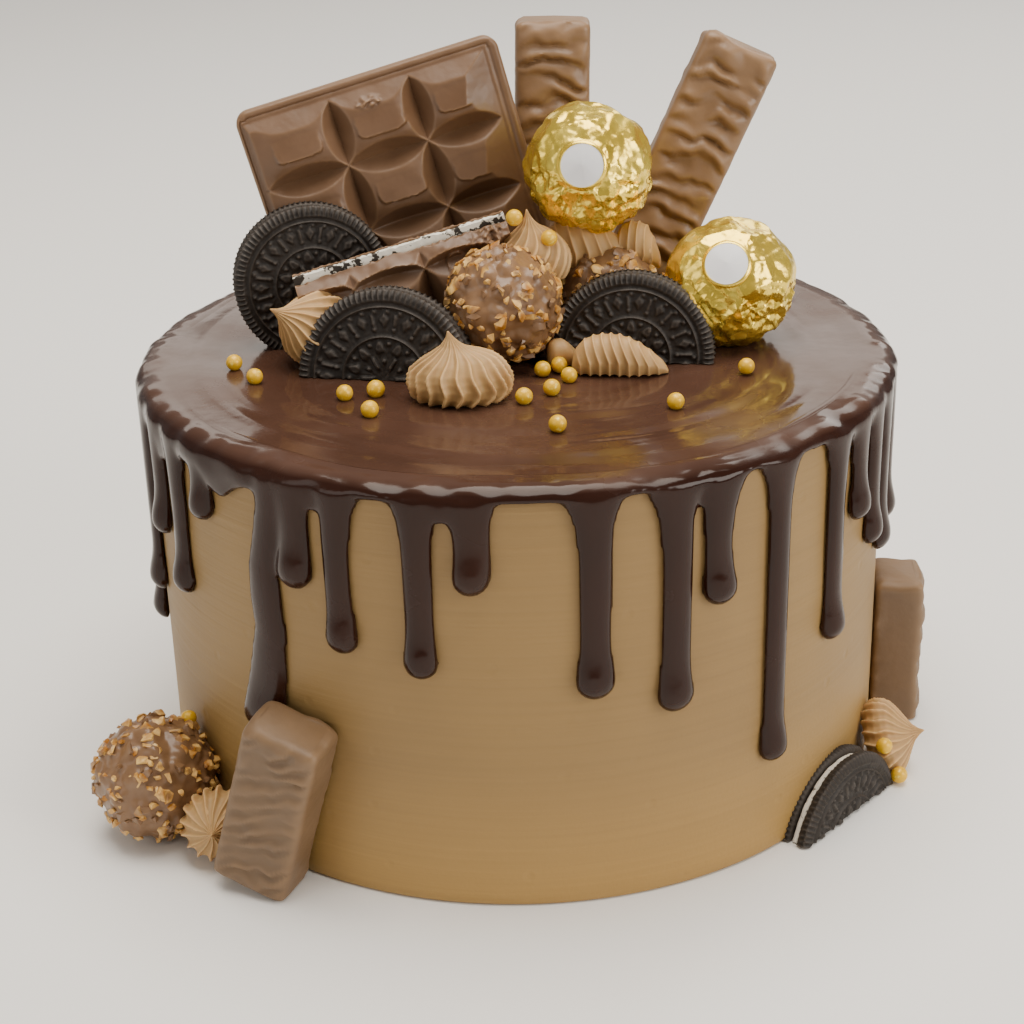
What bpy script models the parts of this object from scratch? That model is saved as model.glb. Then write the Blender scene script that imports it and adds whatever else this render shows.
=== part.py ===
"""Chocolate drip cake with a pile of sweets on top and two small groups at its foot.

Units: every size below is in millimetres. The cake's axis is Z, its base lies on z = 0, and
the side that is shown faces -Y. Meshes are scaled to metres when their object is made.
"""
import math
import random

import bmesh
import bpy
from mathutils import Euler, Matrix, Vector

METRES_PER_MM = 0.001
GAP = 0.3

# The cake: buttercream over sponge, and the poured ganache on it.
CAKE_RADIUS = 103.0
CAKE_HEIGHT = 114.0
GANACHE_TOP = 117.0
GANACHE_INNER_RADIUS = CAKE_RADIUS + GAP
CAKE_SIDES = 64
REST_TOP = GANACHE_TOP + GAP
REST_FOOT = 0.3

# Sandwich cookies: two dark wafers with cream between them.
WAFER = 3.6
COOKIE_CREAM = 1.8
COOKIE_THICK = 2 * WAFER + COOKIE_CREAM + 2 * GAP
COOKIE_RIDGES = 18

# Sweets.
BAR_WIDTH = 21.5
BAR_THICK = 14.0
FOIL_BALL_RADIUS = 17.1
NUT_BALL_RADIUS = 15.4
PEARL_RADIUS = 2.3

# sRGB colours of the materials.
BUTTERCREAM = (0.72, 0.58, 0.41)
PIPED_CREAM = (0.66, 0.52, 0.36)
DARK_GANACHE = (0.20, 0.13, 0.10)
MILK_CHOCOLATE = (0.46, 0.33, 0.24)
DARK_WAFER = (0.16, 0.14, 0.13)
WHITE_CREAM = (0.92, 0.90, 0.84)
NUT_COATING = (0.55, 0.40, 0.25)
GOLD_FOIL = (0.86, 0.70, 0.26)
WHITE_LABEL = (0.90, 0.90, 0.89)


def clear_scene():
    for old in list(bpy.data.objects):
        bpy.data.objects.remove(old, do_unlink=True)


def to_linear(channel):
    return channel / 12.92 if channel <= 0.04045 else ((channel + 0.055) / 1.055) ** 2.4


def food_material(name, colour, roughness, metallic=0.0):
    material = bpy.data.materials.new(name)
    material.use_nodes = True
    shader = material.node_tree.nodes["Principled BSDF"]
    shader.inputs["Base Color"].default_value = [to_linear(c) for c in colour] + [1.0]
    shader.inputs["Roughness"].default_value = roughness
    shader.inputs["Metallic"].default_value = metallic
    return material


def add_piece(name, mesh, colour, roughness, metallic=0.0):
    """Turns a bmesh in millimetres into an object in metres with a material of its own."""
    bmesh.ops.recalc_face_normals(mesh, faces=mesh.faces)
    bmesh.ops.scale(mesh, vec=Vector((1, 1, 1)) * METRES_PER_MM, verts=mesh.verts)
    data = bpy.data.meshes.new(name)
    mesh.to_mesh(data)
    mesh.free()
    data.shade_smooth()
    data.set_sharp_from_angle(angle=math.radians(28))
    piece = bpy.data.objects.new(name, data)
    bpy.context.scene.collection.objects.link(piece)
    data.materials.append(food_material(name, colour, roughness, metallic))
    return piece


def loft(rings, closed_ends=True):
    """Joins rings of points with quads; a ring of one point closes to a tip."""
    mesh = bmesh.new()
    rows = [[mesh.verts.new(point) for point in ring] for ring in rings]
    for low, high in zip(rows, rows[1:]):
        count = max(len(low), len(high))
        for i in range(count):
            j = (i + 1) % count
            if len(low) == 1:
                mesh.faces.new((low[0], high[j], high[i]))
            elif len(high) == 1:
                mesh.faces.new((low[i], low[j], high[0]))
            else:
                mesh.faces.new((low[i], low[j], high[j], high[i]))
    for row in (rows[0], rows[-1]):
        if closed_ends and len(row) > 1:
            mesh.faces.new(row)
    return mesh


def lathe(profile, sides):
    """Turns (radius, height) points round Z; a radius of 0 is one point on the axis."""
    rings = []
    for radius, height in profile:
        if radius == 0:
            rings.append([Vector((0, 0, height))])
        else:
            rings.append([Vector((radius * math.cos(2 * math.pi * i / sides),
                                  radius * math.sin(2 * math.pi * i / sides), height))
                          for i in range(sides)])
    return loft(rings)


def cut_away(mesh, point, normal):
    """Removes what lies on the normal's side of a plane, and closes the cut."""
    geometry = mesh.verts[:] + mesh.edges[:] + mesh.faces[:]
    bmesh.ops.bisect_plane(mesh, geom=geometry, plane_co=point, plane_no=normal, dist=0.0001,
                           clear_outer=True)
    rim = [edge for edge in mesh.edges if edge.is_boundary]
    bmesh.ops.holes_fill(mesh, edges=rim, sides=0)


def place(mesh, location, degrees=(0, 0, 0)):
    turn = Euler([math.radians(d) for d in degrees], "XYZ").to_matrix().to_4x4()
    mesh.transform(Matrix.Translation(location) @ turn)


def stand_on(mesh, height):
    cut_away(mesh, Vector((0, 0, height)), Vector((0, 0, -1)))


def apply_modifiers(piece):
    graph = bpy.context.evaluated_depsgraph_get()
    data = bpy.data.meshes.new_from_object(piece.evaluated_get(graph))
    piece.modifiers.clear()
    piece.data = data


def tidy_mesh(piece):
    """Welds what a cut leaves too close together, and drops loose scraps."""
    mesh = bmesh.new()
    mesh.from_mesh(piece.data)
    bmesh.ops.remove_doubles(mesh, verts=mesh.verts, dist=0.00002)
    bmesh.ops.dissolve_degenerate(mesh, edges=mesh.edges, dist=0.00001)
    bodies = []
    left = set(mesh.verts)
    while left:
        body = {left.pop()}
        edge_of = list(body)
        while edge_of:
            vertex = edge_of.pop()
            near = {link.other_vert(vertex) for link in vertex.link_edges} - body
            body |= near
            edge_of += near
        left -= body
        bodies.append(body)
    bodies.sort(key=len)
    for scrap in bodies[:-1]:
        bmesh.ops.delete(mesh, geom=list(scrap), context="VERTS")
    mesh.to_mesh(piece.data)
    mesh.free()


def clearance_cutter(neighbour, gap):
    """A copy of a neighbour, grown by the gap all over; sharp corners grow a little less."""
    most = 1.6
    mesh = bmesh.new()
    mesh.from_mesh(neighbour.data)
    mesh.normal_update()
    moves = [(v, v.normal * min(most, v.calc_shell_factor()) * gap * METRES_PER_MM)
             for v in mesh.verts]
    for vertex, move in moves:
        vertex.co += move
    data = bpy.data.meshes.new("cutter")
    mesh.to_mesh(data)
    mesh.free()
    cutter = bpy.data.objects.new("cutter", data)
    cutter.hide_render = True
    cutter.display_type = "WIRE"
    bpy.context.scene.collection.objects.link(cutter)
    return cutter


def press_against(piece, neighbours, gap=0.5):
    """Hollows a soft piece where its neighbours press into it.

    The grown copies cross themselves at tight dents, which the EXACT solver can't subtract.
    """
    for neighbour in neighbours:
        cutter = clearance_cutter(neighbour, gap)
        cut = piece.modifiers.new("pressed", "BOOLEAN")
        cut.operation = "DIFFERENCE"
        cut.solver = "MANIFOLD"
        cut.object = cutter
        apply_modifiers(piece)
        bpy.data.objects.remove(cutter, do_unlink=True)
    tidy_mesh(piece)


def fuse(piece, toppings):
    """Joins toppings to the piece that they lie on, as one body."""
    group = bpy.data.collections.new(piece.name + "_toppings")
    bpy.context.scene.collection.children.link(group)
    for topping in toppings:
        bpy.context.scene.collection.objects.unlink(topping)
        group.objects.link(topping)
    join = piece.modifiers.new("fused", "BOOLEAN")
    join.operation = "UNION"
    join.solver = "MANIFOLD"
    join.operand_type = "COLLECTION"
    join.collection = group
    apply_modifiers(piece)
    for topping in toppings:
        bpy.data.objects.remove(topping, do_unlink=True)
    bpy.data.collections.remove(group)
    tidy_mesh(piece)


def pearl(place_mm):
    """A gold sugar pearl."""
    mesh = bmesh.new()
    bmesh.ops.create_uvsphere(mesh, u_segments=6, v_segments=4, radius=PEARL_RADIUS)
    bmesh.ops.translate(mesh, vec=Vector(place_mm), verts=mesh.verts)
    return add_piece("pearl", mesh, GOLD_FOIL, 0.35)


def make_body():
    """The sponge cake under its smoothed buttercream."""
    profile = [(0, 0), (CAKE_RADIUS, 0), (CAKE_RADIUS, CAKE_HEIGHT), (0, CAKE_HEIGHT)]
    return add_piece("cake_body", lathe(profile, CAKE_SIDES), BUTTERCREAM, 0.6)


# Drips that show: azimuth in degrees from the front towards +X, height of the tip, width.
FRONT_DRIPS = [(-74, 57, 8.0), (-66, 80, 7.6), (-58.5, 68, 7.6), (-51, 94, 7.4), (-39.8, 39.5, 10.4),
               (-32.6, 84.5, 9.0), (-24.9, 69.5, 7.8), (-13.8, 65.5, 7.8), (-7.0, 88.8, 8.4),
               (9.7, 59.5, 9.0), (21.0, 52.5, 8.8), (28.2, 79.3, 8.6), (38.3, 28.5, 7.8),
               (51.4, 55.0, 7.8), (58.0, 84.8, 7.6), (64.5, 73.0, 7.8), (71.5, 66.0, 8.2)]
BACK_DRIPS_FROM = 80.0
BACK_DRIPS_TO = 278.0
BACK_DRIP_COUNT = 15
DRIP_TOP = 113.6
DRIP_INNER_RADIUS = GANACHE_INNER_RADIUS + 0.15


def all_drips():
    """The drips that show, then the far side's, spread by a seeded draw."""
    draw = random.Random(11)
    drips = list(FRONT_DRIPS)
    step = (BACK_DRIPS_TO - BACK_DRIPS_FROM) / (BACK_DRIP_COUNT - 1)
    for i in range(BACK_DRIP_COUNT):
        azimuth = BACK_DRIPS_FROM + step * i + draw.uniform(-2.2, 2.2)
        drips.append((azimuth, draw.uniform(36, 94), draw.uniform(7.2, 9.0)))
    return drips


def drip(azimuth, tip, width):
    """One run of ganache: flared where it leaves the rim, narrow, then a heavy round end."""
    half = width / 2
    length = DRIP_TOP - tip
    # Distance down from the top, half width and thickness of each section.
    sections = [(0, half + 2.8, 1.5), (4.5, half + 0.9, 2.6), (9.5, half * 0.92, 2.5),
                (length - 12.0, half * 0.84, 2.5), (length - 5.0, half * 0.98, 3.6),
                (length, half * 0.40, 1.9)]
    across = [(-1.0, 0.0), (-0.74, 0.78), (0.0, 1.04), (0.74, 0.78), (1.0, 0.0)]
    rings = []
    for down, half_width, thick in sections:
        ring = []
        for side, bulge in across:
            radius = DRIP_INNER_RADIUS + bulge * thick
            angle = math.radians(azimuth) + side * half_width / DRIP_INNER_RADIUS
            ring.append(Vector((radius * math.sin(angle), -radius * math.cos(angle), DRIP_TOP - down)))
        rings.append(ring)
    return add_piece("drip", loft(rings), DARK_GANACHE, 0.2)


# Gold pearls strewn on the ganache.
TOP_PEARLS = [(-76.7, -16.5), (-69.8, -28.1), (-44.7, -42.4), (-36.7, -40.1), (-37.4, -54.8), (2.0, -48.1),
              (7.2, -27.9), (11.7, -24.7), (14.1, -33.1), (9.3, -42.2), (10.1, -68.1), (40.6, -54.4),
              (61.5, -29.5)]


def make_ganache():
    """Poured ganache: a sheet on the top, rolled over the edge, with its drips and pearls."""
    inner = GANACHE_INNER_RADIUS
    top = GANACHE_TOP
    under = CAKE_HEIGHT + GAP
    # Radius, height, and how far the uneven rim moves that point outwards and down.
    profile = [(97.0, top, 0.0, 0.0), (102.6, top - 0.7, 0.5, 0.0), (105.0, top - 2.6, 1.0, 0.0),
               (105.2, top - 4.4, 1.0, 0.8), (104.3, top - 5.8, 0.4, 1.0), (inner, top - 6.0, 0.0, 1.0),
               (inner, under, 0.0, 0.0)]
    rings = []
    for radius, height, outwards, downwards in profile:
        ring = []
        for i in range(CAKE_SIDES):
            angle = 2 * math.pi * i / CAKE_SIDES
            lump = 0.5 * math.sin(9 * angle + 0.6) + 0.35 * math.sin(16 * angle + 2.0)
            hang = -1.0 + 1.8 * math.cos(angle + math.radians(14))
            reach = radius + outwards * lump
            ring.append(Vector((reach * math.cos(angle), reach * math.sin(angle),
                                height + downwards * hang)))
        rings.append(ring)
    sheet = add_piece("ganache", loft(rings), DARK_GANACHE, 0.2)
    toppings = [drip(*each) for each in all_drips()]
    sunk = 0.3
    toppings += [pearl((x, y, top + PEARL_RADIUS - sunk)) for x, y in TOP_PEARLS]
    fuse(sheet, toppings)
    return sheet


def chocolate_face(width, length, columns, rows, margin, pillow, back):
    """A moulded tablet: raised blank squares with grooves between, on a thin plate.

    Its face looks along -Y, its top edge lies on z = 0, and its left side is at -width / 2.
    """
    slope_share = 0.22
    groove_lift = 0.15

    def stops(total, count, lead):
        """Where the relief changes along one side, and the share of the full rise there."""
        cell = (total - 2 * lead) / count
        slope = cell * slope_share
        marks = [(0.0, 0.0), (lead, groove_lift)]
        for i in range(count):
            start = lead + i * cell
            marks += [(start + slope, 1.0), (start + cell - slope, 1.0),
                      (start + cell, groove_lift)]
        marks.append((total, 0.0))
        return marks

    across = stops(width, columns, margin)
    down = stops(length, rows, margin)
    mesh = bmesh.new()
    front = []
    for z, lift_z in down:
        row = []
        for x, lift_x in across:
            rise = pillow * min(lift_x, lift_z)
            row.append(mesh.verts.new((x - width / 2, -rise, -z)))
        front.append(row)
    for upper, lower in zip(front, front[1:]):
        for i in range(len(upper) - 1):
            mesh.faces.new((upper[i], lower[i], lower[i + 1], upper[i + 1]))
    # Round the two top corners, then give the plate its thickness.
    corner = margin * 0.35
    front[0][0].co += Vector((corner, 0, -corner))
    front[0][-1].co += Vector((-corner, 0, -corner))
    rim = [edge for edge in mesh.edges if edge.is_boundary]
    grown = bmesh.ops.extrude_edge_only(mesh, edges=rim)
    for item in grown["geom"]:
        if isinstance(item, bmesh.types.BMVert):
            item.co.y = back
    bmesh.ops.holes_fill(mesh, edges=[edge for edge in mesh.edges if edge.is_boundary], sides=0)
    return mesh


SLAB_WIDTH = 76.0
SLAB_ROW = 19.4
SLAB_ROWS = 4
SLAB_MARGIN = 3.5
SLAB_PLACE = (-40.1, 23.0, 188.6)
SLAB_TURN = (-5.5, -14.3, 9.0)


def make_slab():
    """The big piece of milk chocolate that stands in the cake, three squares wide."""
    length = SLAB_ROWS * SLAB_ROW + 2 * SLAB_MARGIN
    mesh = chocolate_face(SLAB_WIDTH, length, 3, SLAB_ROWS, SLAB_MARGIN, 4.2, 3.6)
    place(mesh, SLAB_PLACE, SLAB_TURN)
    stand_on(mesh, REST_TOP)
    return add_piece("chocolate_slab", mesh, MILK_CHOCOLATE, 0.4)


FILLED_WIDTH = 60.0
FILLED_PLACE = (-31.0, -6.5, 147.6)
FILLED_TURN = (0, -14.0, 8.0)


def broken_edge(mesh, drop, seed):
    """Makes a piece's top edge uneven, as chocolate snaps."""
    draw = random.Random(seed)
    for vertex in mesh.verts:
        if vertex.co.z > -0.01:
            vertex.co.z -= draw.uniform(0, drop)


def make_filled_piece():
    """A filled tablet: thick moulded chocolate in front, cream filling, thin chocolate behind."""
    length = 58.0
    front_thick = 3.2
    margin = 1.0
    bevel = 3.0
    columns = 12
    mesh = chocolate_face(FILLED_WIDTH, length, 3, 3, margin, 2.4, front_thick)
    # The snapped edge slopes down towards the moulded face.
    for vertex in mesh.verts:
        if vertex.co.z > -1.2 * margin and vertex.co.y < margin:
            vertex.co.z -= bevel
    broken_edge(mesh, 0.9, 3)
    layers = [("filled_piece_front", mesh, MILK_CHOCOLATE)]
    start = front_thick + GAP
    for name, thick, colour, step in (("filled_piece_filling", 2.1, WHITE_CREAM, 0.4),
                                      ("filled_piece_back", 1.2, MILK_CHOCOLATE, 1.2)):
        rings = []
        for i in range(columns + 1):
            x = FILLED_WIDTH * (i / columns - 0.5)
            rise = step * math.sin(i * 2.3)
            rings.append([Vector((x, start, rise * 0.4)), Vector((x, start + thick, rise)),
                          Vector((x, start + thick, -length)), Vector((x, start, -length))])
        layers.append((name, loft(rings), colour))
        start += thick + GAP
    pieces = []
    for name, layer, colour in layers:
        place(layer, FILLED_PLACE, FILLED_TURN)
        stand_on(layer, REST_TOP)
        pieces.append(add_piece(name, layer, colour, 0.45))
    return pieces


def bar_mesh(width, thick, length, waves):
    """A chocolate bar with rounded corners; its ripples are rings that swell and draw in.

    Its broad face looks along -Y and its top is at z = 0.
    """
    corner = 2.6
    ripple_pitch = 5.4
    end_rounding = 1.4
    ring_count = max(3, int(length / ripple_pitch))
    rings = []
    for i in range(ring_count + 1):
        down = length * i / ring_count
        swell = waves * (1 if i % 2 else -1)
        if i in (0, ring_count):
            swell = -end_rounding
        x = width / 2 + swell
        y0, y1 = -swell, thick + swell
        rings.append([Vector((-x, y0 + corner, -down)), Vector((-x + corner, y0, -down)),
                      Vector((x - corner, y0, -down)), Vector((x, y0 + corner, -down)),
                      Vector((x, y1 - corner, -down)), Vector((x - corner, y1, -down)),
                      Vector((-x + corner, y1, -down)), Vector((-x, y1 - corner, -down))])
    rings.insert(1, [point + Vector((0, 0, -end_rounding)) for point in rings[0]])
    for point in rings[1]:
        point.x *= 1.08
        point.y = thick / 2 + (point.y - thick / 2) * 1.1
    return loft(rings)


# Name, place of the broad face's top centre, turn, width, thickness, length, height it stands on.
BARS = [("bar_upright", (13.1, 41.2, 199.1), (-6.0, 1.7, 0), BAR_WIDTH, BAR_THICK, 92.0, REST_TOP),
        ("bar_leaning", (66.2, 31.0, 192.4), (-8.0, 24.9, 0.4), 22.4, BAR_THICK, 102.0, REST_TOP),
        ("bar_foot_left", (-61.1, -101.4, 49.2), (0, 16.0, -23.0), 21.4, BAR_THICK, 49.2, REST_FOOT),
        ("bar_foot_right", (118.0, -4.0, 45.2), (0, 0, 84.0), 20.0, 14.2, 60.0, REST_FOOT)]


def make_bars():
    bars = []
    for name, spot, turn, width, thick, length, floor in BARS:
        mesh = bar_mesh(width, thick, length, 0.35)
        place(mesh, spot, turn)
        stand_on(mesh, floor)
        bars.append(add_piece(name, mesh, MILK_CHOCOLATE, 0.4))
    return bars


def wafer_mesh(radius, flip):
    """A dark wafer with a ridged rim and a sunk field; its outer face looks along -Y."""
    sides = 2 * COOKIE_RIDGES
    profile = [(0, 0.5), (0.75, 0.5), (0.80, 0.0), (0.985, 0.5), (0.985, WAFER), (0, WAFER)]
    rings = []
    for share, depth in profile:
        y = COOKIE_THICK - depth if flip else depth
        if share == 0:
            rings.append([Vector((0, y, 0))])
            continue
        ring = []
        for i in range(sides):
            ridge = 0.018 * (1 if i % 2 else -1) if share > 0.9 else 0
            angle = 2 * math.pi * i / sides
            reach = radius * (share + ridge)
            ring.append(Vector((reach * math.cos(angle), y, reach * math.sin(angle))))
        rings.append(ring)
    return loft(rings)


def cream_disc(radius):
    sides = 24
    start = WAFER + GAP
    rings = []
    for y in (start, start + COOKIE_CREAM):
        rings.append([Vector((radius * math.cos(2 * math.pi * i / sides), y,
                              radius * math.sin(2 * math.pi * i / sides))) for i in range(sides)])
    return loft(rings)


# Name, place of the outer face's centre, turn, radius, height it stands on.
COOKIES = [("cookie_back_left", (-55.4, 0.6, 135.2), (-3.0, 0, 11.0), 22.0, REST_TOP),
           ("cookie_front", (-35.2, -29.6, 117.8), (-8.9, 0, -11.3), 24.2, REST_TOP),
           ("cookie_right", (31.2, -19.5, 118.9), (-7.0, 7.9, -9.6), 22.8, REST_TOP),
           ("cookie_foot", (89.4, -64.9, -5.6), (0, 0, 48.0), 23.2, REST_FOOT)]


def make_cookies():
    """Each cookie is an outer wafer, its cream and an inner wafer; three are broken in half."""
    made = {}
    for name, spot, turn, radius, floor in COOKIES:
        layers = [(name + "_outer", wafer_mesh(radius, False), DARK_WAFER),
                  (name + "_cream", cream_disc(radius - 1.6), WHITE_CREAM),
                  (name + "_inner", wafer_mesh(radius, True), DARK_WAFER)]
        for layer_name, mesh, colour in layers:
            place(mesh, spot, turn)
            stand_on(mesh, floor)
            made[layer_name] = add_piece(layer_name, mesh, colour, 0.7)
    return made


def rough_ball(radius, centre, subdivisions, bump, seed, share):
    """A ball with some of its points raised, as nut bits under chocolate are."""
    draw = random.Random(seed)
    mesh = bmesh.new()
    bmesh.ops.create_icosphere(mesh, subdivisions=subdivisions, radius=radius)
    for vertex in mesh.verts:
        lift = draw.uniform(0.4, 1.0) * bump if draw.random() < share else -draw.uniform(0, 0.3)
        vertex.co *= 1 + lift / radius
    bmesh.ops.translate(mesh, vec=Vector(centre), verts=mesh.verts)
    return mesh


NUT_BALLS = [("nut_ball_front", (-3.1, -13.8, 133.0), NUT_BALL_RADIUS, REST_TOP),
             ("nut_ball_middle", (26.5, 6.6, 128.0), 14.6, REST_TOP),
             ("nut_ball_foot", (-100.7, -62.2, 16.4), 16.3, REST_FOOT)]


def make_nut_balls():
    balls = []
    for seed, (name, centre, radius, floor) in enumerate(NUT_BALLS):
        mesh = rough_ball(radius, centre, 3, 1.1, seed + 20, 0.35)
        stand_on(mesh, floor)
        balls.append(add_piece(name, mesh, NUT_COATING, 0.5))
    return balls


# Name, centre, direction in which the blank label looks.
FOIL_BALLS = [("foil_ball_upper", (21.5, 8.0, 164.3), (-0.15, -0.95, 0.28)),
              ("foil_ball_right", (60.2, -0.6, 133.3), (-0.17, -0.81, 0.57))]
LABEL_RADIUS = 6.7


def make_foil_balls():
    """Sweets wrapped in crumpled gold foil, each with a round blank label."""
    pieces = []
    for seed, (name, centre, look) in enumerate(FOIL_BALLS):
        draw = random.Random(seed + 40)
        towards = Vector(look).normalized()
        mesh = bmesh.new()
        bmesh.ops.create_icosphere(mesh, subdivisions=3, radius=FOIL_BALL_RADIUS)
        for vertex in mesh.verts:
            crumple = draw.uniform(-0.8, 0.4)
            if vertex.co.normalized().dot(towards) > 0.88:
                crumple = -0.1
            vertex.co *= 1 + crumple / FOIL_BALL_RADIUS
        bmesh.ops.translate(mesh, vec=Vector(centre), verts=mesh.verts)
        stand_on(mesh, REST_TOP)
        pieces.append(add_piece(name, mesh, GOLD_FOIL, 0.25, 1.0))
        sides = 16
        inner = FOIL_BALL_RADIUS + GAP
        outer = inner + 0.5
        rings = [[Vector((0, 0, inner))]]
        for shell in (inner, outer):
            height = math.sqrt(shell ** 2 - LABEL_RADIUS ** 2)
            rings.append([Vector((LABEL_RADIUS * math.cos(2 * math.pi * i / sides),
                                  LABEL_RADIUS * math.sin(2 * math.pi * i / sides), height))
                          for i in range(sides)])
        rings.append([Vector((0, 0, outer))])
        label = loft(rings)
        turn = towards.to_track_quat("Z", "Y").to_matrix().to_4x4()
        label.transform(Matrix.Translation(centre) @ turn)
        pieces.append(add_piece(name + "_label", label, WHITE_LABEL, 0.35))
    return pieces


def kiss_mesh(radius, depth, height, bend, ribs=9, twist=0.5):
    """Cream piped straight up from a star nozzle: ribbed, drawn to a peak.

    Its foot reaches the radius to the left and right, and the depth to the front and back.
    """
    profile = [(0.0, 0.86), (0.22, 1.0), (0.48, 0.80), (0.68, 0.47), (0.86, 0.19)]
    columns = 2 * ribs
    rings = []
    for rise, share in profile:
        centre = Vector((bend[0], bend[1], 0)) * rise ** 2
        ring = []
        for i in range(columns):
            rib = 1 + (0.07 if i % 2 else -0.07)
            angle = 2 * math.pi * i / columns + twist * rise
            ring.append(centre + Vector((radius * share * rib * math.cos(angle),
                                         depth * share * rib * math.sin(angle), height * rise)))
        rings.append(ring)
    rings.append([Vector((bend[0], bend[1], height))])
    return loft(rings)


def ruffle_mesh(length, width, height, ribs):
    """Cream piped sideways as a shell: a blunt left end, ribs across, a narrow right end."""
    across = 8
    rings = []
    stations = 2 * ribs
    for i in range(stations + 1):
        along = i / stations
        envelope = math.sin(math.pi * (0.22 + 0.73 * along)) ** 0.6 if i else 0.42
        rib = 1 + (0.06 if i % 2 else -0.06)
        ring = []
        for k in range(across):
            angle = math.pi * (k / (across - 1))
            lean = 2.6 * math.sin(angle)
            ring.append(Vector((length * (along - 0.5) - lean,
                                -width / 2 * math.cos(angle) * envelope * rib,
                                height * math.sin(angle) * envelope * rib)))
        rings.append(ring)
    return loft(rings)


# Kisses of piped cream: name, place of the base, lean of the axis in degrees, reach of the foot
# to the sides, its reach to front and back, height, bend of the peak.
KISSES = [("cream_left", (-54.0, -14.5, REST_TOP), (0, 0, 0), 11.6, 11.6, 18.0, (-11.0, -7.0)),
          ("cream_front", (-14.3, -42.8, REST_TOP), (0, 0, 0), 13.6, 10.6, 18.0, (-2.6, 0)),
          ("cream_right_lobe", (13.0, -17.8, REST_TOP), (0, 0, 0), 3.8, 3.8, 8.0, (0, 0)),
          ("cream_heart", (13.5, 7.5, REST_TOP), (0, 0, 0), 10.5, 9.5, 27.0, (3, 0)),
          ("cream_top_left", (5.8, -3.4, 137.0), (4, -3, 0), 10.0, 8.6, 20.0, (-0.8, -1.0)),
          ("cream_top_right", (34.5, 6.0, 140.5), (0, 24, 0), 6.4, 6.4, 10.0, (2.0, 0)),
          ("cream_foot_left", (-82.2, -74.5, 9.8), (72, 0, 0), 10.2, 10.2, 15.5, (0, 0)),
          ("cream_foot_right", (99.0, -37.5, 7.6), (0, 70, -16), 11.4, 11.4, 15.5, (0, 0))]

# Ruffles: name, place of the base's centre, turn, length, width, height.
RUFFLES = [("cream_right", (29.0, -26.6, REST_TOP), (0, 0, -6), 23.5, 10.8, 11.5),
           ("cream_top_middle", (21.0, 4.5, 137.5), (0, 0, 0), 27.0, 12.0, 13.5)]


def make_creams():
    creams = {}
    for name, spot, turn, radius, depth, height, bend in KISSES:
        mesh = kiss_mesh(radius, depth, height, bend)
        place(mesh, spot, turn)
        stand_on(mesh, REST_TOP if spot[2] > GANACHE_TOP else REST_FOOT)
        creams[name] = add_piece(name, mesh, PIPED_CREAM, 0.6)
    for name, spot, turn, length, width, height in RUFFLES:
        mesh = ruffle_mesh(length, width, height, 6)
        place(mesh, spot, turn)
        creams[name] = add_piece(name, mesh, PIPED_CREAM, 0.6)
    # The shell under the upper foil ball sits on a mound of the same cream.
    fuse(creams["cream_heart"], [creams.pop("cream_top_middle")])
    return creams


# Gold pearls that lie on creams and on a nut ball, by the piece that carries them.
SWEET_PEARLS = {"cream_top_left": [(0.6, -7.2, 155.0), (9.9, -8.7, 149.5)],
                "cream_foot_right": [(100.3, -49.4, 12.8), (105.2, -48.4, 2.7)],
                "nut_ball_foot": [(-92.0, -53.2, 29.2)]}


def touching(piece, others):
    """Those of the other pieces whose boxes meet the piece's box."""
    def box(item):
        corners = [item.matrix_world @ Vector(corner) for corner in item.bound_box]
        return [(min(c[k] for c in corners), max(c[k] for c in corners)) for k in range(3)]

    own = box(piece)
    near = []
    for other in others:
        their = box(other)
        if all(own[k][0] <= their[k][1] and their[k][0] <= own[k][1] for k in range(3)):
            near.append(other)
    return near


clear_scene()
body = make_body()
make_ganache()
slab = make_slab()
bars = make_bars()
cookies = make_cookies()
foil_balls = make_foil_balls()
nut_balls = make_nut_balls()
filled = make_filled_piece()
creams = make_creams()

# What was set last takes the shape of what it was pressed against.
firm = [body, slab] + bars + list(cookies.values()) + foil_balls
drip_behind_bar = drip(*FRONT_DRIPS[4])
press_against(bars[2], [body, drip_behind_bar])
bpy.data.objects.remove(drip_behind_bar, do_unlink=True)
press_against(cookies["cookie_foot_inner"], [body])
press_against(foil_balls[2], [cookies["cookie_right_cream"], cookies["cookie_right_inner"]])
for piece in nut_balls + filled + list(creams.values()):
    press_against(piece, touching(piece, firm))
    firm.append(piece)
for name, spots in SWEET_PEARLS.items():
    fuse(bpy.data.objects[name], [pearl(spot) for spot in spots])
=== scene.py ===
"""The looks of a chocolate drip cake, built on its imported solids.

Sizes are in millimetres until a mesh is made. The cake's axis is Z and its front faces -Y.
"""

import math
import random

import bmesh
import bpy
import numpy as np
from mathutils import Euler, Matrix, Vector, noise


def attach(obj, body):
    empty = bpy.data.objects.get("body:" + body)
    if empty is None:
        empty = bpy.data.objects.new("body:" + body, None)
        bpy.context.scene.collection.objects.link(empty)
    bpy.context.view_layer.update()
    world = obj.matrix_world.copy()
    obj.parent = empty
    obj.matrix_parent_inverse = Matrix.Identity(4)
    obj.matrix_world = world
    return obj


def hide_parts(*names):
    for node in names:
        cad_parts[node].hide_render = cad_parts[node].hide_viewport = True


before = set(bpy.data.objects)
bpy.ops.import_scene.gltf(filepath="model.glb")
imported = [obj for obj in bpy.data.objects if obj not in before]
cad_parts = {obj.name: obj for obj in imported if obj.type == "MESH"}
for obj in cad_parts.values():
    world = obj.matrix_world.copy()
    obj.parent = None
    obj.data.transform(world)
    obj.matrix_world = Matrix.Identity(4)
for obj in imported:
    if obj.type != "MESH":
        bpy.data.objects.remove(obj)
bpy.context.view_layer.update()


# The camera stands in front of the cake, a little above it, and looks down at it.

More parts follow.
